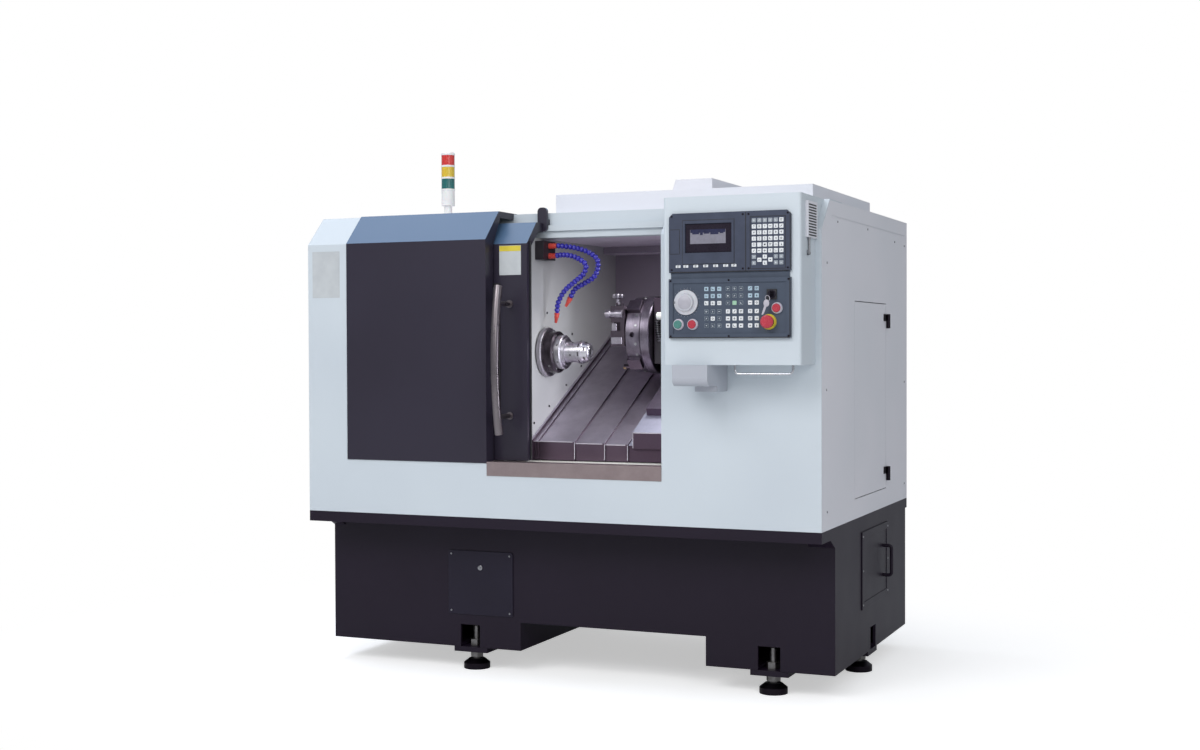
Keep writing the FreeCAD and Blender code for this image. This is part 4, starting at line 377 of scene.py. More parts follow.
carbide_gold = turned_metal("titanium_nitride_carbide", "b5a182", "97835f", 0.3, TURRET_AXIS)


def window_glass():
    """Laminated glass: clear, with a slight grey-green body."""
    material, tree, shader = new_surface("laminated_safety_glass", Roughness=0.03, Alpha=0.26, IOR=1.52)
    tree.links.new(clouded(tree, 120, "c3cfd0", "b4c1c3", 4.0), shader.inputs["Base Color"])
    return material


def display_picture(name, light, dark, strength):
    """A liquid-crystal panel that is on: a little light of its own behind the glass."""
    material, tree, shader = new_surface(name, Roughness=0.15, Emission_Strength=strength)
    tint = clouded(tree, 12, light, dark, 2.0)
    tree.links.new(tint, shader.inputs["Base Color"])
    tree.links.new(tint, shader.inputs["Emission Color"])
    return material


safety_glass = window_glass()
lit_picture = display_picture("lit_grey_liquid_crystal", "7f7d89", "77757f", 0.12)
dark_picture = display_picture("dark_blue_liquid_crystal", "2a2b4a", "23243e", 0.05)
print("materials:", len(bpy.data.materials))

# %% [markdown]
# Each solid from the model now gets its finish. The solids keep their shapes, so only their material slots
# change.

# %% Dress the solids
FINISHES = {
    pale_powder_coat: ["front_panel", "control_housing", "lintel", "left_side_panel"],
    box_enamel_in_painted_shade: ["service_box"],
    powder_coat_with_painted_light: ["right_side_panel", "side_access_door", "back_panel", "louvre_cover"],
    roof_powder_coat: ["roof_panel", "roof_box", "motor_hood"],
    cream_enamel: ["drip_tray"],
    cabin_enamel: ["headstock_wall"],
    cabin_enamel_in_painted_shade: ["cabin_liner"],
    door_enamel: ["fixed_door_cover", "sliding_door", "door_hangers"],
    base_enamel: ["base_frame", "base_side_cover", "base_side_handle"],
    cover_plate_enamel: ["base_front_cover"],
    chromed_tube: ["door_handle"],
    chromed_rod: ["grab_rail"],
    sill_stainless: ["sill_guard"],
    cover_steel: ["way_cover_fixed", "way_cover_second", "way_cover_third"],
    saddle_steel: ["saddle"],
    slide_steel: ["cross_slide"],
    holder_steel: ["tool_holders"],
    zinc_steel: ["leveling_bolts"],
    dark_paint_and_recess_shade: ["coolant_manifold"],
    black_oxide: ["leveling_pads", "slant_bed", "side_hinge_fixed", "side_hinge_moving"],
    chuck_steel: ["collet_nose", "collet"],
    flange_steel: ["spindle"],
    dark_ring_steel: ["chuck_body"],
    turret_steel: ["turret_disc"],
    panel_plastic: ["display_unit", "keypad_unit"],
    panel_film: ["operator_panel"],
    key_film: ["membrane_keys"],
    bezel_plastic: ["display_screen"],
    dial_plastic: ["override_dial"],
    white_abs: ["tower_body"],
    green_lens: ["lamp_green"],
    amber_lens: ["lamp_amber"],
    red_lens: ["lamp_red"],
    button_green_plastic: ["green_button"],
    button_red_plastic: ["red_button", "off_button", "emergency_stop"],
    black_oxide_bright: ["key_switch"],
    hose_acetal: ["coolant_hoses"],
    nozzle_acetal: ["hose_nozzles"],
    safety_glass: ["door_window"],
}

for finish, node_names in FINISHES.items():
    for node_name in node_names:
        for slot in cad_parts[node_name].material_slots:
            slot.material = finish
print("undressed:", set(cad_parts) - {name for names in FINISHES.values() for name in names})

# %% [markdown]
# Screws, keys and the dial's ribs repeat, so Geometry Nodes make them. Each kind has one small tree: it
# takes a mesh of marked points, puts one copy of a shape on each point, and realizes the copies. The points
# carry a vector named facing, so that a head can sit square on any wall. Two helpers build such trees and
# turn their result into a plain mesh, which is what the machine's bodies carry.

# %% Helpers for repeated pieces
SHARP = math.radians(35)


def new_tree(name, inputs):
    """A Geometry Nodes tree with named inputs: each is a socket kind and a starting value."""
    tree = bpy.data.node_groups.new(name, "GeometryNodeTree")
    tree.interface.new_socket("Geometry", in_out="OUTPUT", socket_type="NodeSocketGeometry")
    tree.interface.new_socket("Geometry", in_out="INPUT", socket_type="NodeSocketGeometry")
    for label, (kind, start) in inputs.items():
        socket = tree.interface.new_socket(label, in_out="INPUT", socket_type="NodeSocket" + kind)
        if start is not None:
            socket.default_value = start
    return tree, tree.nodes.new("NodeGroupInput").outputs


def end_tree(tree, geometry, finish):
    """Ends a tree as the export needs it: real geometry with one material."""
    real = add_node(tree, "GeometryNodeRealizeInstances", {"Geometry": geometry})
    dressed = add_node(tree, "GeometryNodeSetMaterial", {"Geometry": real.outputs[0], "Material": finish})
    add_node(tree, "NodeGroupOutput", {"Geometry": dressed.outputs[0]})


def copy_to_points(tree, given, shape):
    """Ends a tree with a copy of a shape on each marked point, turned to look the way that the point faces."""
    facing = add_node(tree, "GeometryNodeInputNamedAttribute", {"Name": "facing"}, data_type="FLOAT_VECTOR")
    turned_to = add_node(tree, "FunctionNodeAlignRotationToVector", {"Vector": facing.outputs["Attribute"]}, axis="Z")
    copies = add_node(tree, "GeometryNodeInstanceOnPoints", {
        "Points": given["Geometry"], "Instance": shape, "Rotation": turned_to.outputs["Rotation"]})
    end_tree(tree, copies.outputs[0], given["Finish"])
    return tree


def marked_points(places, facings):
    """A mesh of loose points, each with the direction that its copy looks in."""
    mesh = bpy.data.meshes.new("marked_points")
    mesh.from_pydata([tuple(place) for place in places], [], [])
    facing = mesh.attributes.new("facing", "FLOAT_VECTOR", "POINT")
    facing.data.foreach_set("vector", [part for way in facings for part in way])
    return mesh


def grow(name, tree, source, values):
    """Runs a tree on a mesh or curve and keeps the result as a plain mesh object."""
    seed = add_object(name + "_seed", source)
    modifier = seed.modifiers.new("grow", "NODES")
    modifier.node_group = tree
    for item in tree.interface.items_tree:
        if item.in_out == "INPUT" and item.name in values:
            modifier[item.identifier] = values[item.name]
    layers = bpy.context.evaluated_depsgraph_get()
    mesh = bpy.data.meshes.new_from_object(seed.evaluated_get(layers), depsgraph=layers)
    bpy.data.objects.remove(seed)
    mesh.name = name
    mesh.shade_smooth()
    mesh.set_sharp_from_angle(angle=SHARP)
    return add_object(name, mesh)


def hand_over(piece, body, slot_name, *stands_for):
    """Gives a finished piece to the body that carries it, in place of the solids it stands for."""
    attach(piece, body)
    if stands_for:
        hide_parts(*stands_for)
    print(piece.name, "rides on", body, "with", len(piece.data.polygons), "faces")


def box_mm(node):
    """A solid's lowest and highest corners in the machine's millimetres."""
    low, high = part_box(node)
    return [[(corner[0] - panel_corner.x) / MM, (corner[1] - panel_corner.y) / MM, corner[2] / MM]
            for corner in (low, high)]


def front_middle(node):
    """The middle of a solid's outline, seen from the front, on the face of the control station."""
    low, high = box_mm(node)
    return ((low[0] + high[0]) / 2, PLATE_FACE, (low[2] + high[2]) / 2)


FRONT_WAY, RIGHT_WAY, BACK_WAY, LEFT_WAY, UP_WAY = (0, -1, 0), (1, 0, 0), (0, 1, 0), (-1, 0, 0), (0, 0, 1)

# %% [markdown]
# A cap screw is a low cylinder with a chamfered rim and a socket in the middle. The tree starts from a cone
# with twelve sides, shrinks a copy of its top face and pushes it down, so that the socket is a real hole
# that fills with shade by itself.

# %% Screw heads
def screw_tree():
    tree, given = new_tree("cap_screws", {"Radius": ("Float", 0.004), "Height": ("Float", 0.003),
                                          "Socket": ("Float", 0.5), "Finish": ("Material", None)})
    shoulder = sum_of(tree, "MULTIPLY", given["Radius"], 0.86)
    head = add_node(tree, "GeometryNodeMeshCone", {"Vertices": 12, "Radius Top": shoulder,
                                                   "Radius Bottom": given["Radius"], "Depth": given["Height"]})
    rim = add_node(tree, "GeometryNodeExtrudeMesh", {"Mesh": head.outputs["Mesh"], "Selection": head.outputs["Top"],
                                                     "Offset Scale": 0.0}, mode="FACES")
    inner = add_node(tree, "GeometryNodeScaleElements", {"Geometry": rim.outputs["Mesh"],
                                                         "Selection": rim.outputs["Top"], "Scale": given["Socket"]})
    depth = sum_of(tree, "MULTIPLY", given["Height"], -0.7)
    socket = add_node(tree, "GeometryNodeExtrudeMesh", {"Mesh": inner.outputs[0], "Selection": rim.outputs["Top"],
                                                        "Offset Scale": depth}, mode="FACES")
    return copy_to_points(tree, given, socket.outputs["Mesh"])


SCREW_TREE = screw_tree()


def heads(name, points, radius_mm, height_mm, finish, body, slot_name="ground_steel", socket=0.55):
    """Screw heads on marked points."""
    values = {"Radius": radius_mm * MM, "Height": height_mm * MM, "Socket": socket, "Finish": finish}
    hand_over(grow(name, SCREW_TREE, points, values), body, slot_name)


def screws(name, places, facing, radius_mm, height_mm, finish, body="machine", slot_name="zinc"):
    """Screw heads at places on a flat wall."""
    points = marked_points([at(*place) for place in places], [facing] * len(places))
    heads(name, points, radius_mm, height_mm, finish, body, slot_name, 0.5)


def corners_in(node, inset, face_back):
    """Four places just inside the corners of a front-facing plate."""
    low, high = box_mm(node)
    return [(across, face_back, up) for across in (low[0] + inset, high[0] - inset)
            for up in (low[2] + inset, high[2] - inset)]


display_low = box_mm("display_unit")[0]
keypad_low, keypad_high = box_mm("keypad_unit")
operator_low, operator_high = box_mm("operator_panel")
OPERATOR_TOP = display_low[2] - 19
PLATE_FACE = display_low[1]
RIM_FACE = operator_low[1]
operator_middle = (operator_low[0] + operator_high[0]) / 2
panel_screws = corners_in("display_unit", 9, PLATE_FACE) + corners_in("keypad_unit", 9, PLATE_FACE)
panel_screws += [(across, RIM_FACE, up) for across in (operator_low[0] + 6, operator_middle, operator_high[0] - 6)
                 for up in (operator_low[2] + 6, OPERATOR_TOP - 6)]
screws("control_panel_screws", panel_screws, FRONT_WAY, 3.2, 1.8, black_oxide, "machine", "black_steel")

front_cover_face = box_mm("base_front_cover")[0][1]
screws("base_front_screws", corners_in("base_front_cover", 12, front_cover_face), FRONT_WAY, 3.6, 2.0, screw_steel)
cover_low, cover_high = box_mm("base_side_cover")
cover_levels = (cover_low[2] + 16, (cover_low[2] + cover_high[2]) / 2, cover_high[2] - 16)
screws("base_side_screws", [(cover_high[0], back, up) for back in (cover_low[1] + 10, cover_high[1] - 10)
                            for up in cover_levels], RIGHT_WAY, 3.6, 2.0, screw_steel)

RIGHT_SCREWS = ((192, 1517), (590, 1519), (1000, 1500), (1159, 1494), (63, 1382), (55, 989), (1160, 989), (63, 610),
                (1160, 610))
right_face = box_mm("right_side_panel")[1][0]
screws("side_panel_screws", [(right_face, back, up) for back, up in RIGHT_SCREWS], RIGHT_WAY, 4.0, 2.0, screw_steel)
back_face = box_mm("back_panel")[1][1]
screws("back_panel_screws", [(across, back_face, up) for across in range(60, 1850, 346) for up in (590, 1060, 1545)],
       BACK_WAY, 4.0, 2.0, screw_steel)
left_face = box_mm("left_side_panel")[0][0]
screws("left_panel_screws", [(left_face, back, up) for back in (60, 420, 790, 1150) for up in (590, 1020, 1440)],
       LEFT_WAY, 4.0, 2.0, screw_steel)

# %% [markdown]
# The wall behind the chuck is held by a row of small screws that follows the slope of the covers. The
# spindle flange has eight socket screws on its own bolt circle, and they ride with the spindle when it
# turns. The turret clamps its tools with pairs of screws in the rim beside each socket.

# %% Screws in the working space
wall_face = box_mm("headstock_wall")[1][0]
WALL_SCREWS = ((116, 1035), (266, 1242), (477, 1170), (556, 1054), (423, 988), (280, 918), (158, 865), (118, 815))
screws("cabin_wall_screws", [(wall_face, back, up) for back, up in WALL_SCREWS], RIGHT_WAY, 4.2, 2.4, black_oxide,
       "machine", "black_steel")


def ring_ways(count, start_degrees=0.0):
    """Evenly spaced directions round an axis that runs left to right."""
    turns = [math.radians(start_degrees + 360 * index / count) for index in range(count)]
    return [(0, math.cos(turn), math.sin(turn)) for turn in turns]


def ring_places(across, centre_back, centre_up, radius, count, start_degrees=0.0):
    """Evenly spaced places on a circle about an axis that runs left to right."""
    return [(across, centre_back + radius * back, centre_up + radius * up)
            for _, back, up in ring_ways(count, start_degrees)]


flange_face = box_mm("spindle")[1][0]
screws("flange_screws", ring_places(flange_face - 1.0, CHUCK_BACK, CHUCK_UP, 78.5, 8, 22.5), RIGHT_WAY, 5.0, 2.5,
       screw_steel, "spindle", "ground_steel")
chuck_face = box_mm("chuck_body")[1][0]
screws("chuck_screws", ring_places(chuck_face, CHUCK_BACK, CHUCK_UP, 65, 6), RIGHT_WAY, 3.6, 1.6, screw_steel,
       "spindle", "ground_steel")

STATIONS = 8
RIM_RADIUS = 132
turret_low, turret_high = box_mm("turret_disc")


def rim_screws():
    """Clamp screws in the turret's rim, two beside each tool socket, pointing out from the axis."""
    turns = [math.radians(360 / STATIONS * station + shift) for station in range(STATIONS) for shift in (-14, 14)]
    ways = [(0, math.cos(turn), math.sin(turn)) for turn in turns]
    return marked_points([at(turret_low[0] + 40, TURRET_BACK + RIM_RADIUS * back, TURRET_UP + RIM_RADIUS * up)
                          for _, back, up in ways], ways)


heads("turret_rim_screws", rim_screws(), 5.5, 2.0, screw_steel, "turret")
screws("turret_face_screws", ring_places(turret_low[0], TURRET_BACK, TURRET_UP, 96, 8, 22.5), LEFT_WAY, 5.0, 2.5,
       screw_steel, "turret", "ground_steel")

# %% [markdown]
# The keys are one membrane over domes, so each key is a thin plate with rounded corners and a slightly
# smaller top. Their tree draws a rounded rectangle, fills it, lifts it and copies it to every key place.
# The groups differ only in colour: white and grey on the keypad, pale blue, white, green and dark ones on
# the operator panel.

# %% Key caps
def key_tree():
    tree, given = new_tree("membrane_keys", {"Width": ("Float", 0.0135), "Height": ("Float", 0.013),
                                             "Corner": ("Float", 0.0016), "Thickness": ("Float", 0.0015),
                                             "Finish": ("Material", None)})
    outline = add_node(tree, "GeometryNodeCurvePrimitiveQuadrilateral",
                       {"Width": given["Width"], "Height": given["Height"]}, mode="RECTANGLE")
    rounded = add_node(tree, "GeometryNodeFilletCurve", {"Curve": outline.outputs[0], "Count": 3,
                                                         "Radius": given["Corner"]}, mode="POLY")
    base = add_node(tree, "GeometryNodeFillCurve", {"Curve": rounded.outputs[0]}, mode="NGONS")
    lifted = add_node(tree, "GeometryNodeExtrudeMesh", {"Mesh": base.outputs[0], "Offset Scale": given["Thickness"]},
                      mode="FACES")
    shrunk = add_node(tree, "GeometryNodeScaleElements", {"Geometry": lifted.outputs["Mesh"],
                                                          "Selection": lifted.outputs["Top"], "Scale": 0.93})
    under = add_node(tree, "GeometryNodeFlipFaces", {"Mesh": base.outputs[0]})
    joined = add_node(tree, "GeometryNodeJoinGeometry", {"Geometry": shrunk.outputs[0]})
    tree.links.new(under.outputs[0], joined.inputs["Geometry"])
    closed = add_node(tree, "GeometryNodeMergeByDistance", {"Geometry": joined.outputs[0], "Distance": 0.00002})
    return copy_to_points(tree, given, closed.outputs[0])


KEY_TREE = key_tree()
KEY_WIDE, KEY_TALL, KEY_THICK, KEY_CORNER = 13.5, 13, 1.5, 1.6


def keys(name, places, finish, width=KEY_WIDE, height=KEY_TALL, thickness=KEY_THICK, slot_name="keys",
         stands_for=()):
    """One kind of key at each place."""
    points = marked_points([at(across, PLATE_FACE, up) for across, up in places], [FRONT_WAY] * len(places))
    values = {"Width": width * MM, "Height": height * MM, "Corner": KEY_CORNER * MM, "Thickness": thickness * MM,
              "Finish": finish}
    hand_over(grow(name, KEY_TREE, points, values), "machine", slot_name, *stands_for)


def grid(left, top, pitch, drop, columns, rows):
    """The middles of the keys of a grid, by (column, row)."""
    return {(column, row): (left + column * pitch, top - row * drop) for row in rows for column in range(columns)}


PAD = grid(keypad_low[0] + 26, keypad_high[2] - 29, 17.1, 18.2, 6, range(8))
first_left, first_top = operator_low[0] + 121, OPERATOR_TOP - 32
FUNCTION_ROWS = [first_top - 21.5 * row - (4 if row > 2 else 0) for row in range(6)]
GROUPS = [{(column, row): (first_left + shift + 20.7 * column, FUNCTION_ROWS[row])
           for row in range(6) for column in range(columns)} for shift, columns in ((0, 3), (69, 3), (139, 2))]
CURSOR_UP = PAD[2, 6]
CURSOR_DOWN = PAD[2, 7]
half_way = (PAD[1, 6][1] + PAD[1, 7][1]) / 2
CURSOR_LEFT = (PAD[1, 6][0], half_way)
CURSOR_RIGHT = (PAD[3, 6][0], half_way)
DARK_IN_FIRST = {(0, 3), (1, 3), (2, 3), (0, 4), (2, 4), (0, 5), (1, 5), (2, 5)}
DARK_IN_SECOND = {(column, row) for column in range(3) for row in range(2)} | {(0, 2), (2, 2)}

pad_white = [PAD[5, 0]] + [PAD[column, row] for row in range(1, 6) for column in range(6)]
pad_white += [CURSOR_UP, CURSOR_DOWN, CURSOR_LEFT, CURSOR_RIGHT]
pad_grey = [PAD[column, 0] for column in range(5)] + [PAD[column, row] for row in (6, 7) for column in (0, 4, 5)]
first_white = [GROUPS[0][column, 2] for column in range(3)] + [GROUPS[0][1, 4]]
second_white = [GROUPS[1][column, row] for row in (3, 4, 5) for column in range(3)]
third_white = [GROUPS[2][column, row] for row in range(2, 6) for column in range(2)]
blue_keys = [GROUPS[index][column, row] for index, columns in ((0, 3), (2, 2)) for row in (0, 1)
             for column in range(columns)]
dark_keys = [GROUPS[0][key] for key in sorted(DARK_IN_FIRST)] + [GROUPS[1][key] for key in sorted(DARK_IN_SECOND)]

keys("white_keys", pad_white + first_white + second_white + third_white, key_film, stands_for=("membrane_keys",))
keys("grey_keys", pad_grey, grey_key_film)
keys("blue_keys", blue_keys, blue_key_film)
keys("green_key", [GROUPS[1][1, 2]], green_key_film)
keys("dark_keys", dark_keys, outline_key_film, thickness=1.2)
keys("dark_key_centres", dark_keys, panel_film, 11.6, 11.1, slot_name="panel_slate")
SOFT_KEY_STEPS = (30, 55, 87, 119, 151, 183, 209)
soft_keys = [(display_low[0] + step, display_low[2] + 19) for step in SOFT_KEY_STEPS]
keys("soft_keys", soft_keys, key_film, 16, 8, 1.2)

# %% [markdown]
# Each key has its own printed sign. The number pad has plain digits, and the rest have simple generic
# signs: bars, arrows, rings and corners, each drawn as a few thin polygons in a unit square and scaled to
# the key. The signs in each ink, and the digits, become flat meshes a tenth of a millimetre in front of the
# keys, like a real screen print.

# %% Signs on the keys
def bar(left, low, right, high):
    """A straight stroke of a sign."""
    return [(left, low), (right, low), (right, high), (left, high)]


def ring_part(eighth, outer=0.75, inner=0.4):
    """An eighth of a ring."""
    near, far = eighth * math.pi / 4, (eighth + 1) * math.pi / 4
    return [(radius * math.cos(turn), radius * math.sin(turn))
            for radius, turn in ((outer, near), (outer, far), (inner, far), (inner, near))]


SIGNS = {
    "bar": [bar(-0.9, -0.2, 0.9, 0.2)],
    "two_bars": [bar(-0.9, 0.25, 0.9, 0.65), bar(-0.9, -0.65, 0.5, -0.25)],
    "right": [bar(-0.8, -0.15, 0.1, 0.15), [(0.1, -0.6), (0.9, 0.0), (0.1, 0.6)]],
    "left": [bar(-0.1, -0.15, 0.8, 0.15), [(-0.1, 0.6), (-0.9, 0.0), (-0.1, -0.6)]],
    "up": [bar(-0.15, -0.8, 0.15, 0.1), [(0.6, 0.1), (0.0, 0.9), (-0.6, 0.1)]],
    "down": [bar(-0.15, -0.1, 0.15, 0.8), [(-0.6, -0.1), (0.0, -0.9), (0.6, -0.1)]],
    "plus": [bar(-0.8, -0.18, 0.8, 0.18), bar(-0.18, 0.18, 0.18, 0.8), bar(-0.18, -0.8, 0.18, -0.18)],
    "ring": [ring_part(eighth) for eighth in range(8)],
    "corner": [bar(-0.8, -0.7, 0.8, -0.35), bar(-0.8, -0.35, -0.45, 0.7)],
    "square": [bar(-0.6, -0.6, 0.6, 0.6)],
    "slope": [[(-0.8, -0.7), (-0.3, -0.7), (0.8, 0.7), (0.3, 0.7)]],
}
INK_MM = 0.1
KEY_FACE = PLATE_FACE - KEY_THICK


def printed(name, shape, finish):
    """Turns a flat mesh in the making into print on the keys."""
    mesh = bpy.data.meshes.new(name)
    shape.to_mesh(mesh)
    shape.free()
    mesh.materials.clear()
    mesh.materials.append(finish)
    hand_over(add_object(name, mesh), "machine", "keys")


def printed_signs(name, entries, finish):
    """Prints signs on the keys. An entry is a sign's name, its place and its half size."""
    shape = bmesh.new()
    for sign, (across, up), half in entries:
        for outline in SIGNS[sign]:
            shape.faces.new([shape.verts.new(at(across + x * half, KEY_FACE - INK_MM, up + z * half))
                             for x, z in outline])
    bmesh.ops.recalc_face_normals(shape, faces=shape.faces)
    for face in shape.faces:
        if face.normal.y > 0:
            face.normal_flip()
    printed(name, shape, finish)


SIGN_CYCLE = ["two_bars", "ring", "corner", "plus", "slope", "bar", "square", "right", "up", "left", "down"]
CURSOR_KEYS = (("up", CURSOR_UP), ("down", CURSOR_DOWN), ("left", CURSOR_LEFT), ("right", CURSOR_RIGHT))
DIGITS = {(0, 1): "7", (1, 1): "8", (2, 1): "9", (0, 2): "4", (1, 2): "5", (2, 2): "6", (0, 3): "1", (1, 3): "2",
          (2, 3): "3", (0, 4): "0", (1, 4): "."}


def signs_for(places, step, first, half):
    """Signs in a mixed order, one for each place."""
    return [(SIGN_CYCLE[(index * step + first) % len(SIGN_CYCLE)], place, half)
            for index, place in enumerate(places)]


taken = {PAD[key] for key in DIGITS} | {place for _, place in CURSOR_KEYS}
printed_signs("key_signs", signs_for([place for place in pad_white if place not in taken], 5, 0, 4.2)
              + [(sign, place, 4.0) for sign, place in CURSOR_KEYS]
              + signs_for(first_white + second_white + third_white + blue_keys, 7, 2, 4.2)
              + [("two_bars", place, 4.0) for place in soft_keys], legend_ink)
printed_signs("pale_key_signs", signs_for(pad_grey + dark_keys, 3, 1, 3.2), pale_ink)


def printed_digits():
    """The number pad's digits, from Blender's own plain font, laid on the key faces."""
    gathered = bmesh.new()
    for key, sign in DIGITS.items():
        line = bpy.data.curves.new("digit", "FONT")
        line.body = sign
        line.size = 10 * MM
        line.align_x = "CENTER"
        line.align_y = "CENTER"
        word = add_object("digit", line)
        flat = bpy.data.meshes.new_from_object(word.evaluated_get(bpy.context.evaluated_depsgraph_get()))
        bpy.data.objects.remove(word)
        across, up = PAD[key]
        lay_on = Matrix.Translation(at(across, KEY_FACE - INK_MM, up)) @ Matrix.Rotation(math.pi / 2, 4, "X")
        flat.transform(lay_on)
        gathered.from_mesh(flat)
    printed("key_digits", gathered, legend_ink)


printed_digits()

# %% [markdown]
# Bezels, knobs, collars and nozzles were turned or moulded round, so one helper sweeps a profile of lengths
# and radii about an axis. Others add a plate, a box with its edges cut and a flat frame to the mesh in the
# making. A piece is made inside a with block. At the block's end its faces are turned outwards, only its real
# edges are kept sharp, and it is handed over to its body.

# %% Helpers for turned and flat pieces
def turned(shape, profile, place, way, sides=32):
    """Adds a turned form. The profile gives (along, radius) in millimetres. It starts and ends on the axis,
    or else it is the section of a ring and closes on itself."""
    axis = Vector(way).normalized()
    first = axis.orthogonal().normalized()
    second = axis.cross(first)
    rings = []
    for along, radius in profile:
        middle = at(*place) + axis * (along * MM)
        turns = [2 * math.pi * side / sides for side in range(sides if radius else 1)]
        rings.append([shape.verts.new(middle + (first * math.cos(turn) + second * math.sin(turn)) * (radius * MM))
                      for turn in turns])
    pairs = list(zip(rings, rings[1:]))
    if len(rings[0]) > 1:
        pairs.append((rings[-1], rings[0]))
    for near, far in pairs:
        for side in range(sides):
            after = side + 1
            corners = (near[side % len(near)], near[after % len(near)], far[after % len(far)], far[side % len(far)])
            shape.faces.new(dict.fromkeys(corners))


def slab(shape, outline, push):
    """Adds a plate: the places round its outline, and its thickness as a step in millimetres."""
    near = [shape.verts.new(at(*point)) for point in outline]
    far = [shape.verts.new(vertex.co + Vector(push) * MM) for vertex in near]
    sides = [(near[index - 1], near[index], far[index], far[index - 1]) for index in range(len(near))]
    return [shape.faces.new(corners) for corners in [near, far] + sides]


def block(shape, low, high, edge_mm=0.0):
    """Adds a box between two places, with its edges cut."""
    (left, front, foot), (right, back, top) = low, high
    faces = slab(shape, [(left, front, foot), (right, front, foot), (right, front, top), (left, front, top)],
                 (0, back - front, 0))
    if edge_mm:
        edges = list({edge for face in faces for edge in face.edges})
        bmesh.ops.bevel(shape, geom=edges, offset=edge_mm * MM, segments=1, affect="EDGES")


def join_rings(shape, rings):
    """Closes four rings of corners, of which each is joined to the next and the last to the first."""
    for ring, following in zip(rings, rings[1:] + rings[:1]):
        for corner in range(len(ring)):
            shape.faces.new((ring[corner - 1], ring[corner], following[corner], following[corner - 1]))


def grown(frame_mm, by):
    """A frame's (left, bottom, right, top), grown by a margin."""
    left, low, right, high = frame_mm
    return (left - by, low - by, right + by, high + by)


def flat_frame(shape, outer, inner, near, far):
    """Adds a front-facing frame: outer and inner are (left, bottom, right, top), near and far are its depths."""
    rings = []
    for (left, low, right, high), depth in ((outer, near), (outer, far), (inner, far), (inner, near)):
        corners = ((left, low), (right, low), (right, high), (left, high))
        rings.append([shape.verts.new(at(across, depth, up)) for across, up in corners])
    join_rings(shape, rings)


@contextmanager
def piece(name, finish, body, slot_name, *stands_for):
    """A mesh in the making, which is closed and handed over to its body at the end of the block."""
    shape = bmesh.new()
    yield shape
    bmesh.ops.recalc_face_normals(shape, faces=shape.faces)
    mesh = bpy.data.meshes.new(name)
    shape.to_mesh(mesh)
    shape.free()
    mesh.shade_smooth()
    mesh.set_sharp_from_angle(angle=SHARP)
    mesh.materials.append(finish)
    hand_over(add_object(name, mesh), body, slot_name, *stands_for)


# %% [markdown]
# The display stands in a thin raised frame with a flap for a card slot at its left. Behind the tinted
# window only the middle is lit: a pale liquid-crystal field under a dark blue band of plain blocks. Fine dark
# lines of painted shade lie where the mouldings meet.

# %% Display and keypad surround
SCREEN_FACE = box_mm("display_screen")[0][1]
DISPLAY_FRAME = (1460, 1376, 1624, 1508)
CARD_FLAP = (1419, 1408, 1449, 1481)
KEYPAD_EDGE = (1676, 1358, 1784, 1513)
with piece("display_surround", panel_plastic, "machine", "panel_slate") as surround:
    flat_frame(surround, DISPLAY_FRAME, (1467.5, 1409.5, 1616.5, 1498.5), PLATE_FACE - 1.4, PLATE_FACE)
    block(surround, (CARD_FLAP[0], PLATE_FACE - 1, CARD_FLAP[1]), (CARD_FLAP[2], PLATE_FACE, CARD_FLAP[3]), 0.5)
# Thin black strips at the plates' edges: painted shade in the grooves.
with piece("surround_shade_lines", black_rubber, "machine", "black_steel") as shade:
    for frame_mm, out, into, proud in ((CARD_FLAP, 1.4, 0.4, 0.3), (DISPLAY_FRAME, 1.6, 0.4, 0.3),
                                       (KEYPAD_EDGE, 1.4, 0.2, 0.6)):
        flat_frame(shade, grown(frame_mm, out), grown(frame_mm, -into), PLATE_FACE - proud, PLATE_FACE)
    for left, low, right, high in ((1659.8, 1351.5, 1662.2, 1529.5), (1421, 1350.1, 1797, 1352.6),
                                   (1798.4, 1354, 1800.9, 1524)):
        block(shade, (left, PLATE_FACE - 0.5, low), (right, PLATE_FACE, high))
    for left, low, right, high in ((1416, 1150.2, 1800, 1153.2), (1798, 1153.2, 1800.8, OPERATOR_TOP - 2)):
        block(shade, (left, RIM_FACE - 0.4, low), (right, RIM_FACE + 0.2, high))
with piece("lit_display_field", lit_picture, "machine", "screen_glass") as picture:
    block(picture, (1483, SCREEN_FACE - 0.3, 1437), (1597, SCREEN_FACE, 1480))
with piece("dark_display_band", dark_picture, "machine", "screen_glass") as band:
    block(band, (1484, SCREEN_FACE - 0.5, 1470.5), (1596, SCREEN_FACE - 0.1, 1480.5))
    for step, wide, tall in ((6, 22, 4.5), (31, 9, 7), (43, 18, 3.5), (64, 26, 6), (94, 12, 3)):
        block(band, (1484 + step, SCREEN_FACE - 0.5, 1470.6 - tall), (1484 + step + wide, SCREEN_FACE - 0.1, 1470.4))

# %% [markdown]
# The override dial is a wide pale ring with a fine knurl and a lilac-grey cap. Small printed ticks on the
# panel show its steps. The knurl is one short bar, copied round the rim by Geometry Nodes.

# %% Dial
def bar_tree():
    tree, given = new_tree("small_bars", {"Size": ("Vector", (0.001, 0.001, 0.001)), "Finish": ("Material", None)})
    return copy_to_points(tree, given, add_node(tree, "GeometryNodeMeshCube", {"Size": given["Size"]}).outputs[0])


BAR_TREE = bar_tree()
DIAL = front_middle("override_dial")


def round_the_dial(radius, lift, count, start=0.0, end=360.0):
    """Places and outward directions on a circle in front of the panel, about the dial's axis."""
    turns = [math.radians(start + (end - start) * index / count) for index in range(count)]
    ways = [(math.cos(turn), 0, math.sin(turn)) for turn in turns]
    return marked_points([at(DIAL[0] + radius * way[0], DIAL[1] - lift, DIAL[2] + radius * way[2]) for way in ways],
                         ways)


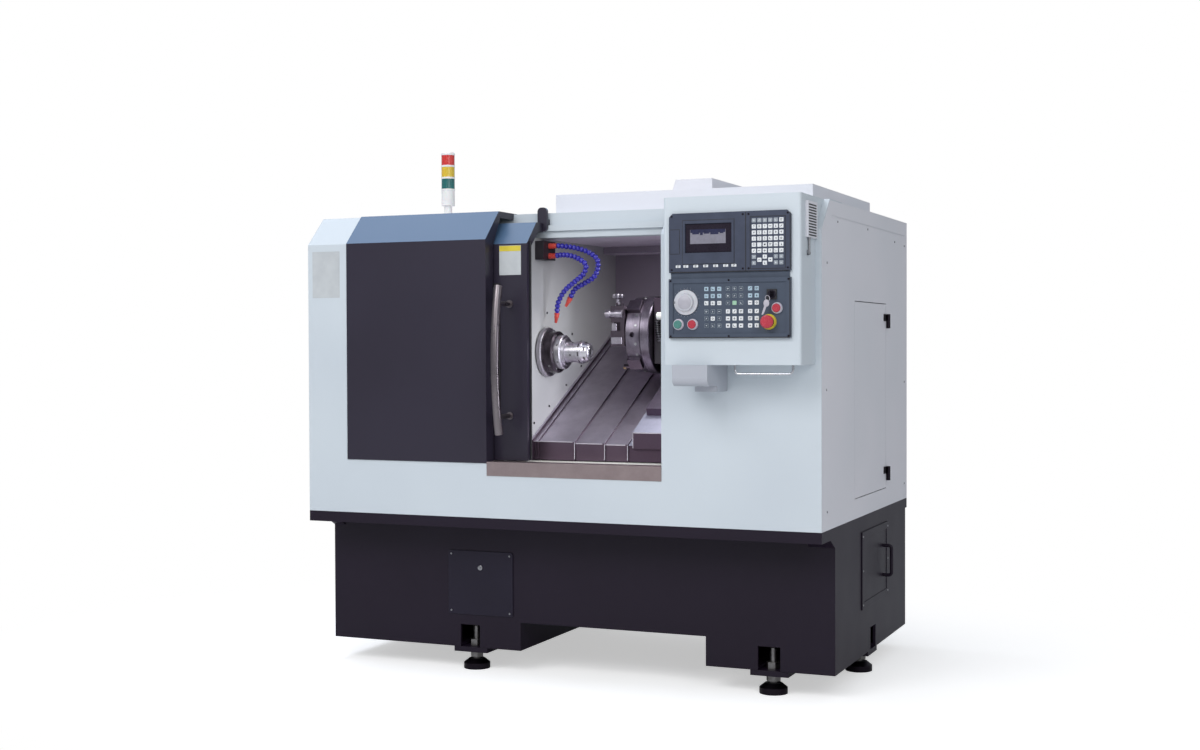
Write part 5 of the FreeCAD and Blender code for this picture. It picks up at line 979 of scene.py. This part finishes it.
def bars(name, points, size, finish, body, slot_name):
    """Small bars on marked points."""
    hand_over(grow(name, BAR_TREE, points, {"Size": [part * MM for part in size], "Finish": finish}), body, slot_name)


bars("dial_knurl", round_the_dial(37.9, 3.0, 80), (3.6, 1.4, 1.0), dial_plastic, "dial", "dial_white")
bars("dial_cap_ribs", round_the_dial(25.3, 12.2, 48), (5.5, 0.9, 0.8), dial_cap_plastic, "dial", "dial_white")
bars("dial_ticks", round_the_dial(43.5, 0.1, 22, -140, 170), (0.2, 0.9, 4.0), pale_ink, "machine", "keys")
with piece("dial_cap", dial_cap_plastic, "dial", "dial_white") as cap:
    turned(cap, [(0, 0), (0, 21.5), (0.5, 21.5), (0.9, 20.8), (0.9, 0)],
           (DIAL[0], box_mm("override_dial")[0][1], DIAL[2]), FRONT_WAY, 48)
with piece("dial_pointer", legend_ink, "dial", "dial_white") as pointer:
    slab(pointer, [(DIAL[0] + across, DIAL[1] - 5.6, DIAL[2] + up)
                   for across, up in ((-36.5, 4.5), (-36.5, -4.5), (-28.8, 0))], (0, -0.5, 0))

# %% [markdown]
# Each push button moves in a raised pale bezel, whose colour is partly its own and partly a painted highlight
# on its rim, which is why the button's colour seems to stand in a light cup. The emergency stop has a yellow
# cup behind its mushroom, and the key lock sits in a square black housing with a spare key on its ring.

# %% Bezels, cup and key
# Pale bezels: partly a painted highlight.
with piece("button_bezels", bezel_plastic_with_painted_highlight, "machine", "dial_white") as bezels:
    for node in ("green_button", "red_button", "off_button"):
        turned(bezels, [(0, 13.4), (0, 17.2), (2, 17.2), (8.2, 15.4), (9, 14.8), (9, 13.4)], front_middle(node),
               FRONT_WAY, 40)
with piece("emergency_stop_cup", stop_yellow_plastic, "machine", "lamp_amber") as cup:
    turned(cup, [(0, 14.5), (0, 23.5), (3, 23.5), (11, 21.6), (12, 20.8), (12, 18.6), (3, 17.5)],
           front_middle("emergency_stop"), FRONT_WAY, 48)
KEY = front_middle("key_switch")
KEY_FRONT = box_mm("key_switch")[0][1]


def square_housing(shape, half, hole, height, sides=32):
    """A square block with a round hole: each corner of the hole is joined to the square's outline."""
    rings = []
    for reach, is_hole in ((0, True), (0, False), (height, False), (height, True)):
        ring = []
        for side in range(sides):
            turn = 2 * math.pi * side / sides
            along, up = math.cos(turn), math.sin(turn)
            radius = hole if is_hole else half / max(abs(along), abs(up))
            ring.append(shape.verts.new(at(KEY[0] + radius * along, KEY[1] - reach, KEY[2] + radius * up)))
        rings.append(ring)
    join_rings(shape, rings)


def beside_key(outline, lift):
    """Places beside the key lock's middle, a little behind the lock's own face."""
    return [(KEY[0] + across, KEY_FRONT + lift, KEY[2] + up) for across, up in outline]


with piece("key_housing", black_rubber, "machine", "black_steel") as lock_housing:
    square_housing(lock_housing, 15.5, 13.3, 4.2)
with piece("spare_key", pale_key_and_painted_edge_highlight, "key", "ground_steel") as spare_key:
    turns = [math.pi * 2 * step / 14 for step in range(14)]
    bow = [(-10 + 9 * math.cos(turn), -27 + 11 * math.sin(turn)) for turn in turns]
    slab(spare_key, beside_key(bow, 2.6), (0, -1.7, 0))
    blade = [(-16, -33), (-25, -60), (-22, -62), (-18, -58), (-9, -36)]
    slab(spare_key, beside_key(blade, 2.4), (0, -1.3, 0))
    turned(spare_key, [(-0.7, 7.3), (0.7, 7.3), (0.7, 8.7), (-0.7, 8.7)], beside_key([(-6.5, -12)], 1.8)[0],
           (0.35, 1, 0.25), 28)

# %% [markdown]
# The coolant hoses are strings of acetal cups, each plugged into the next. Geometry Nodes make them from
# their routes: the points become one smooth line, the line is cut into eight short steps a cup, each step gets
# the cup's radius there, and a circle is swept along it. The swivelling nozzles and the inlets are turned.

# %% Coolant hoses
def hose_tree():
    tree, given = new_tree("cup_hose", {"Cup": ("Float", 0.0105), "Neck": ("Float", 0.0075), "Pitch": ("Float", 0.011),
                                        "Steps": ("Int", 6), "Sides": ("Int", 16), "Finish": ("Material", None)})
    line = add_node(tree, "GeometryNodeMeshToCurve", {"Mesh": given["Geometry"]})
    kind = add_node(tree, "GeometryNodeCurveSplineType", {"Curve": line.outputs[0]}, spline_type="CATMULL_ROM")
    fine = add_node(tree, "GeometryNodeSetSplineResolution", {"Geometry": kind.outputs[0], "Resolution": 24})
    step = sum_of(tree, "DIVIDE", given["Pitch"], given["Steps"])
    cut_line = add_node(tree, "GeometryNodeResampleCurve", {"Curve": fine.outputs[0], "Length": step}, mode="LENGTH")
    index = add_node(tree, "GeometryNodeInputIndex").outputs[0]
    share = sum_of(tree, "DIVIDE", sum_of(tree, "MODULO", index, given["Steps"]), given["Steps"])
    swell = sum_of(tree, "SINE", sum_of(tree, "MULTIPLY", share, math.pi))
    radius = remap(tree, sum_of(tree, "POWER", swell, 0.6), 0.0, 1.0, given["Neck"], given["Cup"])
    circle = add_node(tree, "GeometryNodeCurvePrimitiveCircle", {"Resolution": given["Sides"], "Radius": 1.0},
                      mode="RADIUS")
    skin = add_node(tree, "GeometryNodeCurveToMesh", {"Curve": cut_line.outputs[0], "Profile Curve": circle.outputs[0],
                                                      "Scale": radius, "Fill Caps": True})
    end_tree(tree, skin.outputs[0], given["Finish"])
    return tree


manifold_low, manifold_high = box_mm("coolant_manifold")
INLET = (manifold_high[0], (manifold_low[1] + manifold_high[1]) / 2)
HOSE_TOP = manifold_high[2]
HOSE_SPAN, HOSE_ROOM, INLET_LENGTH, TIP_LENGTH = 172, 274, 27.2, 34
# Each route in shares: to the right and the back of the span, and down of the room over the chuck.
UPPER_ROUTE = [(0.262, 0.012, 0.062), (0.535, 0.047, 0.088), (0.791, 0.081, 0.139), (0.977, 0.105, 0.226),
               (1, 0.116, 0.336), (0.907, 0.128, 0.453), (0.686, 0.14, 0.533), (0.488, 0.151, 0.599),
               (0.384, 0.151, 0.708)]
LOWER_ROUTE = [(0.233, -0.023, 0.175), (0.442, -0.047, 0.182), (0.651, -0.047, 0.226), (0.802, -0.035, 0.307),
               (0.744, -0.012, 0.416), (0.535, 0.023, 0.511), (0.302, 0.058, 0.62), (0.151, 0.081, 0.766),
               (0.116, 0.093, 0.898)]
INLET_PROFILE = [(0, 0), (0, 10.4), (6, 10.4), (7, 8.2), (10, 8.2), (11, 9.4), (15.5, 9.4), (16.5, 7.8), (19, 7.8),
                 (20, 9), (25, 8.8), (27, 7), (INLET_LENGTH, 0)]
TIP_PROFILE = [(-1, 0), (-1, 9.2), (6, 9.2), (7, 7.4), (9.5, 7.4), (10.5, 8.4), (15, 8.0), (16.5, 6.8),
               (TIP_LENGTH, 4.2), (TIP_LENGTH, 2.6), (TIP_LENGTH - 5, 2.4), (TIP_LENGTH - 5, 0)]
route_points, route_edges, fittings = [], [], []
for route, drop_mm in ((UPPER_ROUTE, 16), (LOWER_ROUTE, 50)):
    inlet_place = (*INLET, HOSE_TOP - drop_mm)
    places = [(INLET[0] + INLET_LENGTH, INLET[1], HOSE_TOP - drop_mm)]
    places += [(INLET[0] + right * HOSE_SPAN, INLET[1] + back * HOSE_SPAN, HOSE_TOP - down * HOSE_ROOM)
               for right, back, down in route]
    begin = len(route_points)
    route_points += [at(*place) for place in places]
    route_edges += [(begin + index, begin + index + 1) for index in range(len(places) - 1)]
    fittings += [(INLET_PROFILE, inlet_place, RIGHT_WAY),
                 (TIP_PROFILE, places[-1], Vector(places[-1]) - Vector(places[-2]))]
route_mesh = bpy.data.meshes.new("hose_routes")
route_mesh.from_pydata(route_points, route_edges, [])
hand_over(grow("coolant_hose_cups", hose_tree(), route_mesh,
               {"Cup": 9.6 * MM, "Neck": 4.1 * MM, "Pitch": 14 * MM, "Steps": 8, "Sides": 14, "Finish": hose_acetal}),
          "machine", "hose_blue", "coolant_hoses")
with piece("coolant_nozzles", nozzle_acetal, "machine", "hose_orange", "hose_nozzles") as nozzles:
    for profile, place, way in fittings:
        turned(nozzles, profile, place, way, 24)

# %% [markdown]
# The chuck closes on the bar with a turned nose. Set screws and spanner slots round it show that it comes
# apart, and the collet's bright inner ring stands just inside. They all turn with the spindle.

# %% Chuck details
nose_low, nose_high = box_mm("collet_nose")


def round_the_spindle(along_nose, radius, count, start_degrees=0.0):
    """Places and outward directions on a circle about the spindle, measured along from the nose's root."""
    return marked_points([at(*place) for place in ring_places(nose_low[0] + along_nose, CHUCK_BACK, CHUCK_UP, radius,
                                                              count, start_degrees)],
                         ring_ways(count, start_degrees))


heads("nose_set_screws", round_the_spindle(51, 34.6, 4, 197), 4.2, 0.7, black_oxide, "spindle")
heads("ring_set_screws", round_the_spindle(11, 58.6, 6, 215), 3.6, 0.8, black_oxide, "spindle")
heads("chuck_rim_screws", round_the_spindle(-18, 71.6, 3, 222), 4.6, 0.8, screw_steel, "spindle")
bars("collar_slots", round_the_spindle(81, 38.9, 8, 10), (5, 14, 0.5), dark_ring_steel, "spindle", "black_steel")
bars("nose_tip_slots", round_the_spindle(100, 33.2, 6, 40), (5, 13, 1.6), dark_ring_steel, "spindle", "black_steel")
with piece("collet_bright_rings", chuck_steel, "spindle", "ground_steel") as rings:
    turned(rings, [(0, 25.2), (0, 29.4), (1.2, 28.6), (1.2, 25.6)], (nose_high[0], CHUCK_BACK, CHUCK_UP),
           RIGHT_WAY, 40)
    turned(rings, [(0, 12.4), (0, 16.5), (0.8, 15.8), (0.8, 12.8)],
           (box_mm("collet")[1][0], CHUCK_BACK, CHUCK_UP), RIGHT_WAY, 40)

# %% [markdown]
# The turret carries its tools in bolted blocks. A star knob clamps the top one, a boring bar with a collar
# stands out to the left, and four tools end in a gold-coated carbide insert. The slide behind the disc
# has a bright edge strip, a recess shown by a dark plate of painted shade, with the coolant valve's white
# cylinder, and a coiled pipe.

# %% Turret details
TOOL_FACE = TURRET_BACK - RIM_RADIUS
KNOB = (turret_low[0] - 52, TOOL_FACE + 70, TURRET_UP + 97)
with piece("boring_collar_and_knob", bright_tool_steel, "turret", "ground_steel") as tools:
    turned(tools, [(-70, 0), (-70, 10), (-68, 14), (-52, 14), (-50, 11.5), (-34, 11.5), (-34, 14), (-6, 14), (-4, 11),
                   (-4, 0)], (turret_low[0], TOOL_FACE, TURRET_UP + 72), RIGHT_WAY)
    block(tools, (turret_low[0] - 50, TOOL_FACE - 3, TURRET_UP - 32),
          (turret_low[0] - 9, TOOL_FACE + 2, TURRET_UP - 8), 1.5)
    block(tools, (turret_low[0] - 46, TOOL_FACE - 5, TURRET_UP + 14),
          (turret_low[0] - 28, TOOL_FACE + 2, TURRET_UP + 40), 2)
    turned(tools, [(0, 0), (0, 9), (4, 11), (12, 11), (16, 8), (28, 8), (32, 14), (46, 14), (49, 9), (49, 0)], KNOB,
           UP_WAY, 24)
    for turn in [0.4 + math.pi / 2 * quarter for quarter in range(4)]:
        turned(tools, [(-7, 0), (-7, 5.5), (-3, 7), (3, 7), (7, 5.5), (7, 0)],
               (KNOB[0] + 13 * math.cos(turn), KNOB[1] + 13 * math.sin(turn), KNOB[2] + 39), UP_WAY, 16)

INSERT_LEFT, INSERT_RIGHT, INSERT_FRONT, INSERT_BACK, INSERT_RISE = -19.5, -9.5, -21, -13, RIM_RADIUS + 15.5
with piece("carbide_inserts", carbide_gold, "turret", "ground_steel") as inserts:
    for station in (1, 3, 5, 7):
        around = Matrix.Rotation(math.radians(360 / STATIONS * station), 4, "X")
        begin = len(inserts.verts)
        slab(inserts, [(INSERT_LEFT, INSERT_BACK, INSERT_RISE), (INSERT_LEFT, INSERT_FRONT, INSERT_RISE),
                       (INSERT_RIGHT, INSERT_FRONT, INSERT_RISE), (INSERT_RIGHT, INSERT_BACK, INSERT_RISE)],
             (0, 0, -3.5))
        inserts.verts.ensure_lookup_table()
        for vertex in inserts.verts[begin:]:
            vertex.co = at(turret_low[0], TURRET_BACK, TURRET_UP) + around @ (vertex.co - at(0, 0, 0))

slide_low, slide_high = box_mm("cross_slide")
HOUSING_FRONT, HOUSING_TOP = TURRET_BACK - 88, TURRET_UP + 127
with piece("housing_edge_strip", chromed_rod, "cross_slide", "chrome_tube") as strip:
    block(strip, (turret_high[0] + 6, HOUSING_FRONT - 1.2, HOUSING_TOP - 5),
          (slide_high[0] - 2, HOUSING_FRONT + 6, HOUSING_TOP + 1.2), 1)
# A flat dark plate: painted shade where the slide has its recess.
with piece("housing_recess_shade", dark_paint_and_recess_shade, "cross_slide", "black_steel") as recess:
    block(recess, (slide_low[0] + 1, HOUSING_FRONT - 1.6, TURRET_UP - 100),
          (slide_high[0] - 60, HOUSING_FRONT + 2, TURRET_UP + 78), 1)
with piece("housing_cylinder", white_abs, "cross_slide", "white_plastic") as valve:
    turned(valve, [(0, 0), (0, 11), (2, 13), (88, 13), (90, 11), (90, 0)],
           (slide_low[0] + 16, HOUSING_FRONT - 13, TURRET_UP + 64), RIGHT_WAY, 28)
with piece("housing_fittings", screw_steel, "cross_slide", "ground_steel") as coils:
    for step in range(9):
        turned(coils, [(-2.6, 6), (0, 9.5), (2.6, 6), (0, 4)],
               (slide_low[0] + 14 + 0.16 * step * step, HOUSING_FRONT - 9, TURRET_UP + 44 - 8 * step),
               (0.25 - 0.06 * step, 0.1, 1), 20)

# %% [markdown]
# Thin trim closes the enclosure: a rubber seal round the door's window, a wiper lip on the door's edge, dark
# painted shade in and behind the vent's slots, hemmed edges and end wipers whose pale colour is a painted
# highlight where the telescopic covers fold down, the vent's catch, and the lock of the base's front cover.

# %% Seals, wipers and trim
door_low, door_high = box_mm("sliding_door")
window_low, window_high = box_mm("door_window")
WINDOW = grown((window_low[0], window_low[2], window_high[0], window_high[2]), -14)
with piece("window_seal", black_rubber, "sliding_door", "black_steel") as seal:
    flat_frame(seal, grown(WINDOW, 9), grown(WINDOW, -3), door_low[1] - 2.5, door_low[1])
with piece("door_edge_lip", black_rubber, "sliding_door", "black_steel") as lip:
    block(lip, (door_high[0], door_low[1] + 18, door_low[2] + 4), (door_high[0] + 5, door_low[1] + 26, 1480), 1.2)

VENT_FACE = 1837.9
louvre_low, louvre_high = box_mm("louvre_cover")
# Dark plates in and behind the slots: painted shade, not a part of the vent.
with piece("vent_slot_shade", black_rubber, "machine", "black_steel") as vent_shade:
    block(vent_shade, (louvre_low[0] + 3.1, louvre_low[1] + 4, louvre_low[2] + 4),
          (louvre_low[0] + 3.5, louvre_high[1] - 9, louvre_high[2] - 4))
    for slot_foot in [1457.2 + 8.3 * slot for slot in range(13)]:
        block(vent_shade, (VENT_FACE, -101.4, slot_foot), (VENT_FACE + 0.8, -15.6, slot_foot + 4.2))

# Each front sheet's left and right end, face, top and foot, then the left and right end and face of its wiper.
COVER_LIPS = {"machine": (809, 952, 136, 805, 746, 958.4, 961.2, 138),
              "cover_second": (851, 1060, 144, 800, 746, 1066.4, 1069.2, 142),
              "cover_third": (931, 1141, 148, 797.5, 746, 1147.4, 1150.2, 146),
              "saddle": (1171, 1469, 140, 840, 788, 1169.4, 1171.6, 140)}
# The lips and wipers are pale strips: a painted highlight on the covers' edges.
for body, (left, right, face, top, foot, wiper_left, wiper_right, wiper_face) in COVER_LIPS.items():
    with piece(body + "_front_lip_highlight", pale_key_and_painted_edge_highlight, body, "chrome_tube") as lips:
        block(lips, (left, face - 0.7, top - 2.6), (right, face + 1.6, top + 0.6), 0.5)
        block(lips, (wiper_left, wiper_face - 0.6, foot), (wiper_right, wiper_face + 1.2, top - 2), 0.4)
with piece("vent_catch", screw_steel, "machine", "chrome_tube") as catch:
    turned(catch, [(0, 0), (0, 4.5), (8, 4.5), (8, 3.4), (44, 3.4), (44, 4.6), (50, 4.6), (50, 0)],
           (1835, -84, 1452), (0, 0, -1), 20)
    block(catch, (1831.5, -97, 1399), (1838.5, -80, 1403), 1)
    block(catch, (1831.5, -97, 1399), (1838.5, -93.5, 1414), 1)
with piece("base_cover_lock", screw_steel, "machine", "zinc") as cover_lock:
    turned(cover_lock, [(0, 0), (0, 8.5), (2.5, 8.5), (3.5, 7), (3.5, 4.2), (2.2, 4.2), (2.2, 0)],
           (592, front_cover_face, 359), FRONT_WAY, 24)
    block(cover_lock, (590.6, front_cover_face - 4.2, 355.5), (593.4, front_cover_face - 2, 362.5), 0.4)

# %% [markdown]
# Two plates stand where such a machine carries its notices. They stay bare: a pale sheet on the left pillar
# and a small two-tone plate on the door. The signal tower has a pale collar between its lenses.

# %% Bare plates and tower collars
with piece("left_bare_plate", plate_film, "machine", "cabin_sheet") as left_plate:
    block(left_plate, (18, -0.5, 1298), (129, 0, 1459), 0.2)
with piece("door_bare_plate", plate_film, "sliding_door", "cabin_sheet") as door_plate:
    block(door_plate, (721, 57.4, 1366), (802, 58, 1465), 0.2)
with piece("door_plate_band", stop_yellow_plastic, "sliding_door", "lamp_amber") as door_band:
    block(door_band, (722, 57.2, 1446), (801, 57.5, 1464))
with piece("tower_collars", white_abs, "machine", "white_plastic") as collars:
    for level in (1698, 1741, 1784, 1827):
        turned(collars, [(-3.4, 23), (-3.4, 24.6), (-2.6, 25.2), (2.6, 25.2), (3.4, 24.6), (3.4, 23)],
               (*TOWER, level), UP_WAY, 40)

# %% [markdown]
# A workshop catalogue picture has white paper behind the machine and broad soft light. Softboxes stand in
# front, at the right and overhead, under a soft sky. The front one is strongest, so that the front face is
# lighter than the right side. Two small lamps are in the cabin, where such machines have their work light.
# White is shown only to the camera and through glass, so the object itself is lit at a plain level.

# %% Light and floor
def studio_world():
    world = bpy.data.worlds.new("white_studio")
    world.use_nodes = True
    tree = world.node_tree
    tree.nodes.clear()
    soft = add_node(tree, "ShaderNodeBackground", {"Color": colour("e6ebf2"), "Strength": 0.48})
    white = add_node(tree, "ShaderNodeBackground", {"Color": (1, 1, 1, 1), "Strength": 1.0})
    path = add_node(tree, "ShaderNodeLightPath")
    seen = sum_of(tree, "MAXIMUM", path.outputs["Is Camera Ray"], path.outputs["Is Transmission Ray"])
    mix = add_node(tree, "ShaderNodeMixShader", {0: seen, 1: soft.outputs[0], 2: white.outputs[0]})
    add_node(tree, "ShaderNodeOutputWorld", {"Surface": mix.outputs[0]})
    scene.world = world


def softbox(name, place, target, width, height, watts, tint="ffffff", spread=180):
    """A rectangular lamp, in metres and watts, that shines at its target and isn't seen itself."""
    lamp = bpy.data.lights.new(name, "AREA")
    lamp.spread = math.radians(spread)
    lamp.color = colour(tint)[:3]
    lamp.shape = "RECTANGLE"
    lamp.size = width
    lamp.size_y = height
    lamp.energy = watts
    stand = add_object(name, lamp)
    stand.visible_camera = False
    stand.location = place
    stand.rotation_euler = (target - place).to_track_quat("-Z", "Y").to_euler()


def white_floor():
    """White paper: it takes the machine's shadow near it and shines plain white to the camera further out."""
    mesh = bpy.data.meshes.new("paper_floor")
    reach = 60.0
    mesh.from_pydata([(-reach, -reach, 0), (reach, -reach, 0), (reach, reach, 0), (-reach, reach, 0)], [],
                     [(0, 1, 2, 3)])
    floor = add_object("paper_floor", mesh)
    material, tree, shader = new_surface("matt_white_paper", Roughness=0.9, Specular_IOR_Level=0.1)
    fibres = grain(tree, 400, detail=2.0)
    tree.links.new(blend_colours(tree, between(tree, fibres, 0, 1), "f4f4f4", "efefef"), shader.inputs["Base Color"])
    shader.inputs["Emission Color"].default_value = (1, 1, 1, 1)
    seen = add_node(tree, "ShaderNodeLightPath").outputs["Is Camera Ray"]
    tree.links.new(sum_of(tree, "MULTIPLY", seen, 0.5), shader.inputs["Emission Strength"])
    white = add_node(tree, "ShaderNodeEmission", {"Color": (1, 1, 1, 1), "Strength": 1.0})
    flat = add_node(tree, "ShaderNodeVectorMath", {0: place_in(tree), 1: (0.75, 1.0, 0.0)}, operation="MULTIPLY")
    away = add_node(tree, "ShaderNodeVectorMath", {0: flat.outputs[0]}, operation="LENGTH").outputs["Value"]
    far = remap(tree, away, 0.9, 1.9, interpolation_type="SMOOTHSTEP")
    shown = sum_of(tree, "MULTIPLY", far, seen)
    mix = add_node(tree, "ShaderNodeMixShader", {0: shown, 1: shader.outputs[0], 2: white.outputs[0]})
    output = next(node for node in tree.nodes if node.bl_idname == "ShaderNodeOutputMaterial")
    tree.links.new(mix.outputs[0], output.inputs["Surface"])
    mesh.materials.append(material)


studio_world()
softbox("front_softbox", at(300, -4400, 4000), at(950, 250, 900), 3.4, 2.6, 125)
softbox("right_softbox", at(4500, -3600, 2900), at(1400, 300, 900), 2.4, 2.4, 55)
softbox("overhead_softbox", at(-600, 270, 4300), at(500, 250, 1500), 3.2, 2.6, 68, "dde5f3")
softbox("cabin_ceiling_light", at(1270, 330, 1484), at(1270, 330, 0), 0.22, 0.22, 1.9)
softbox("cabin_side_light", at(1378, 120, 1030), at(800, 270, 970), 0.1, 0.4, 0.62, "f4f5ff", spread=90)
white_floor()
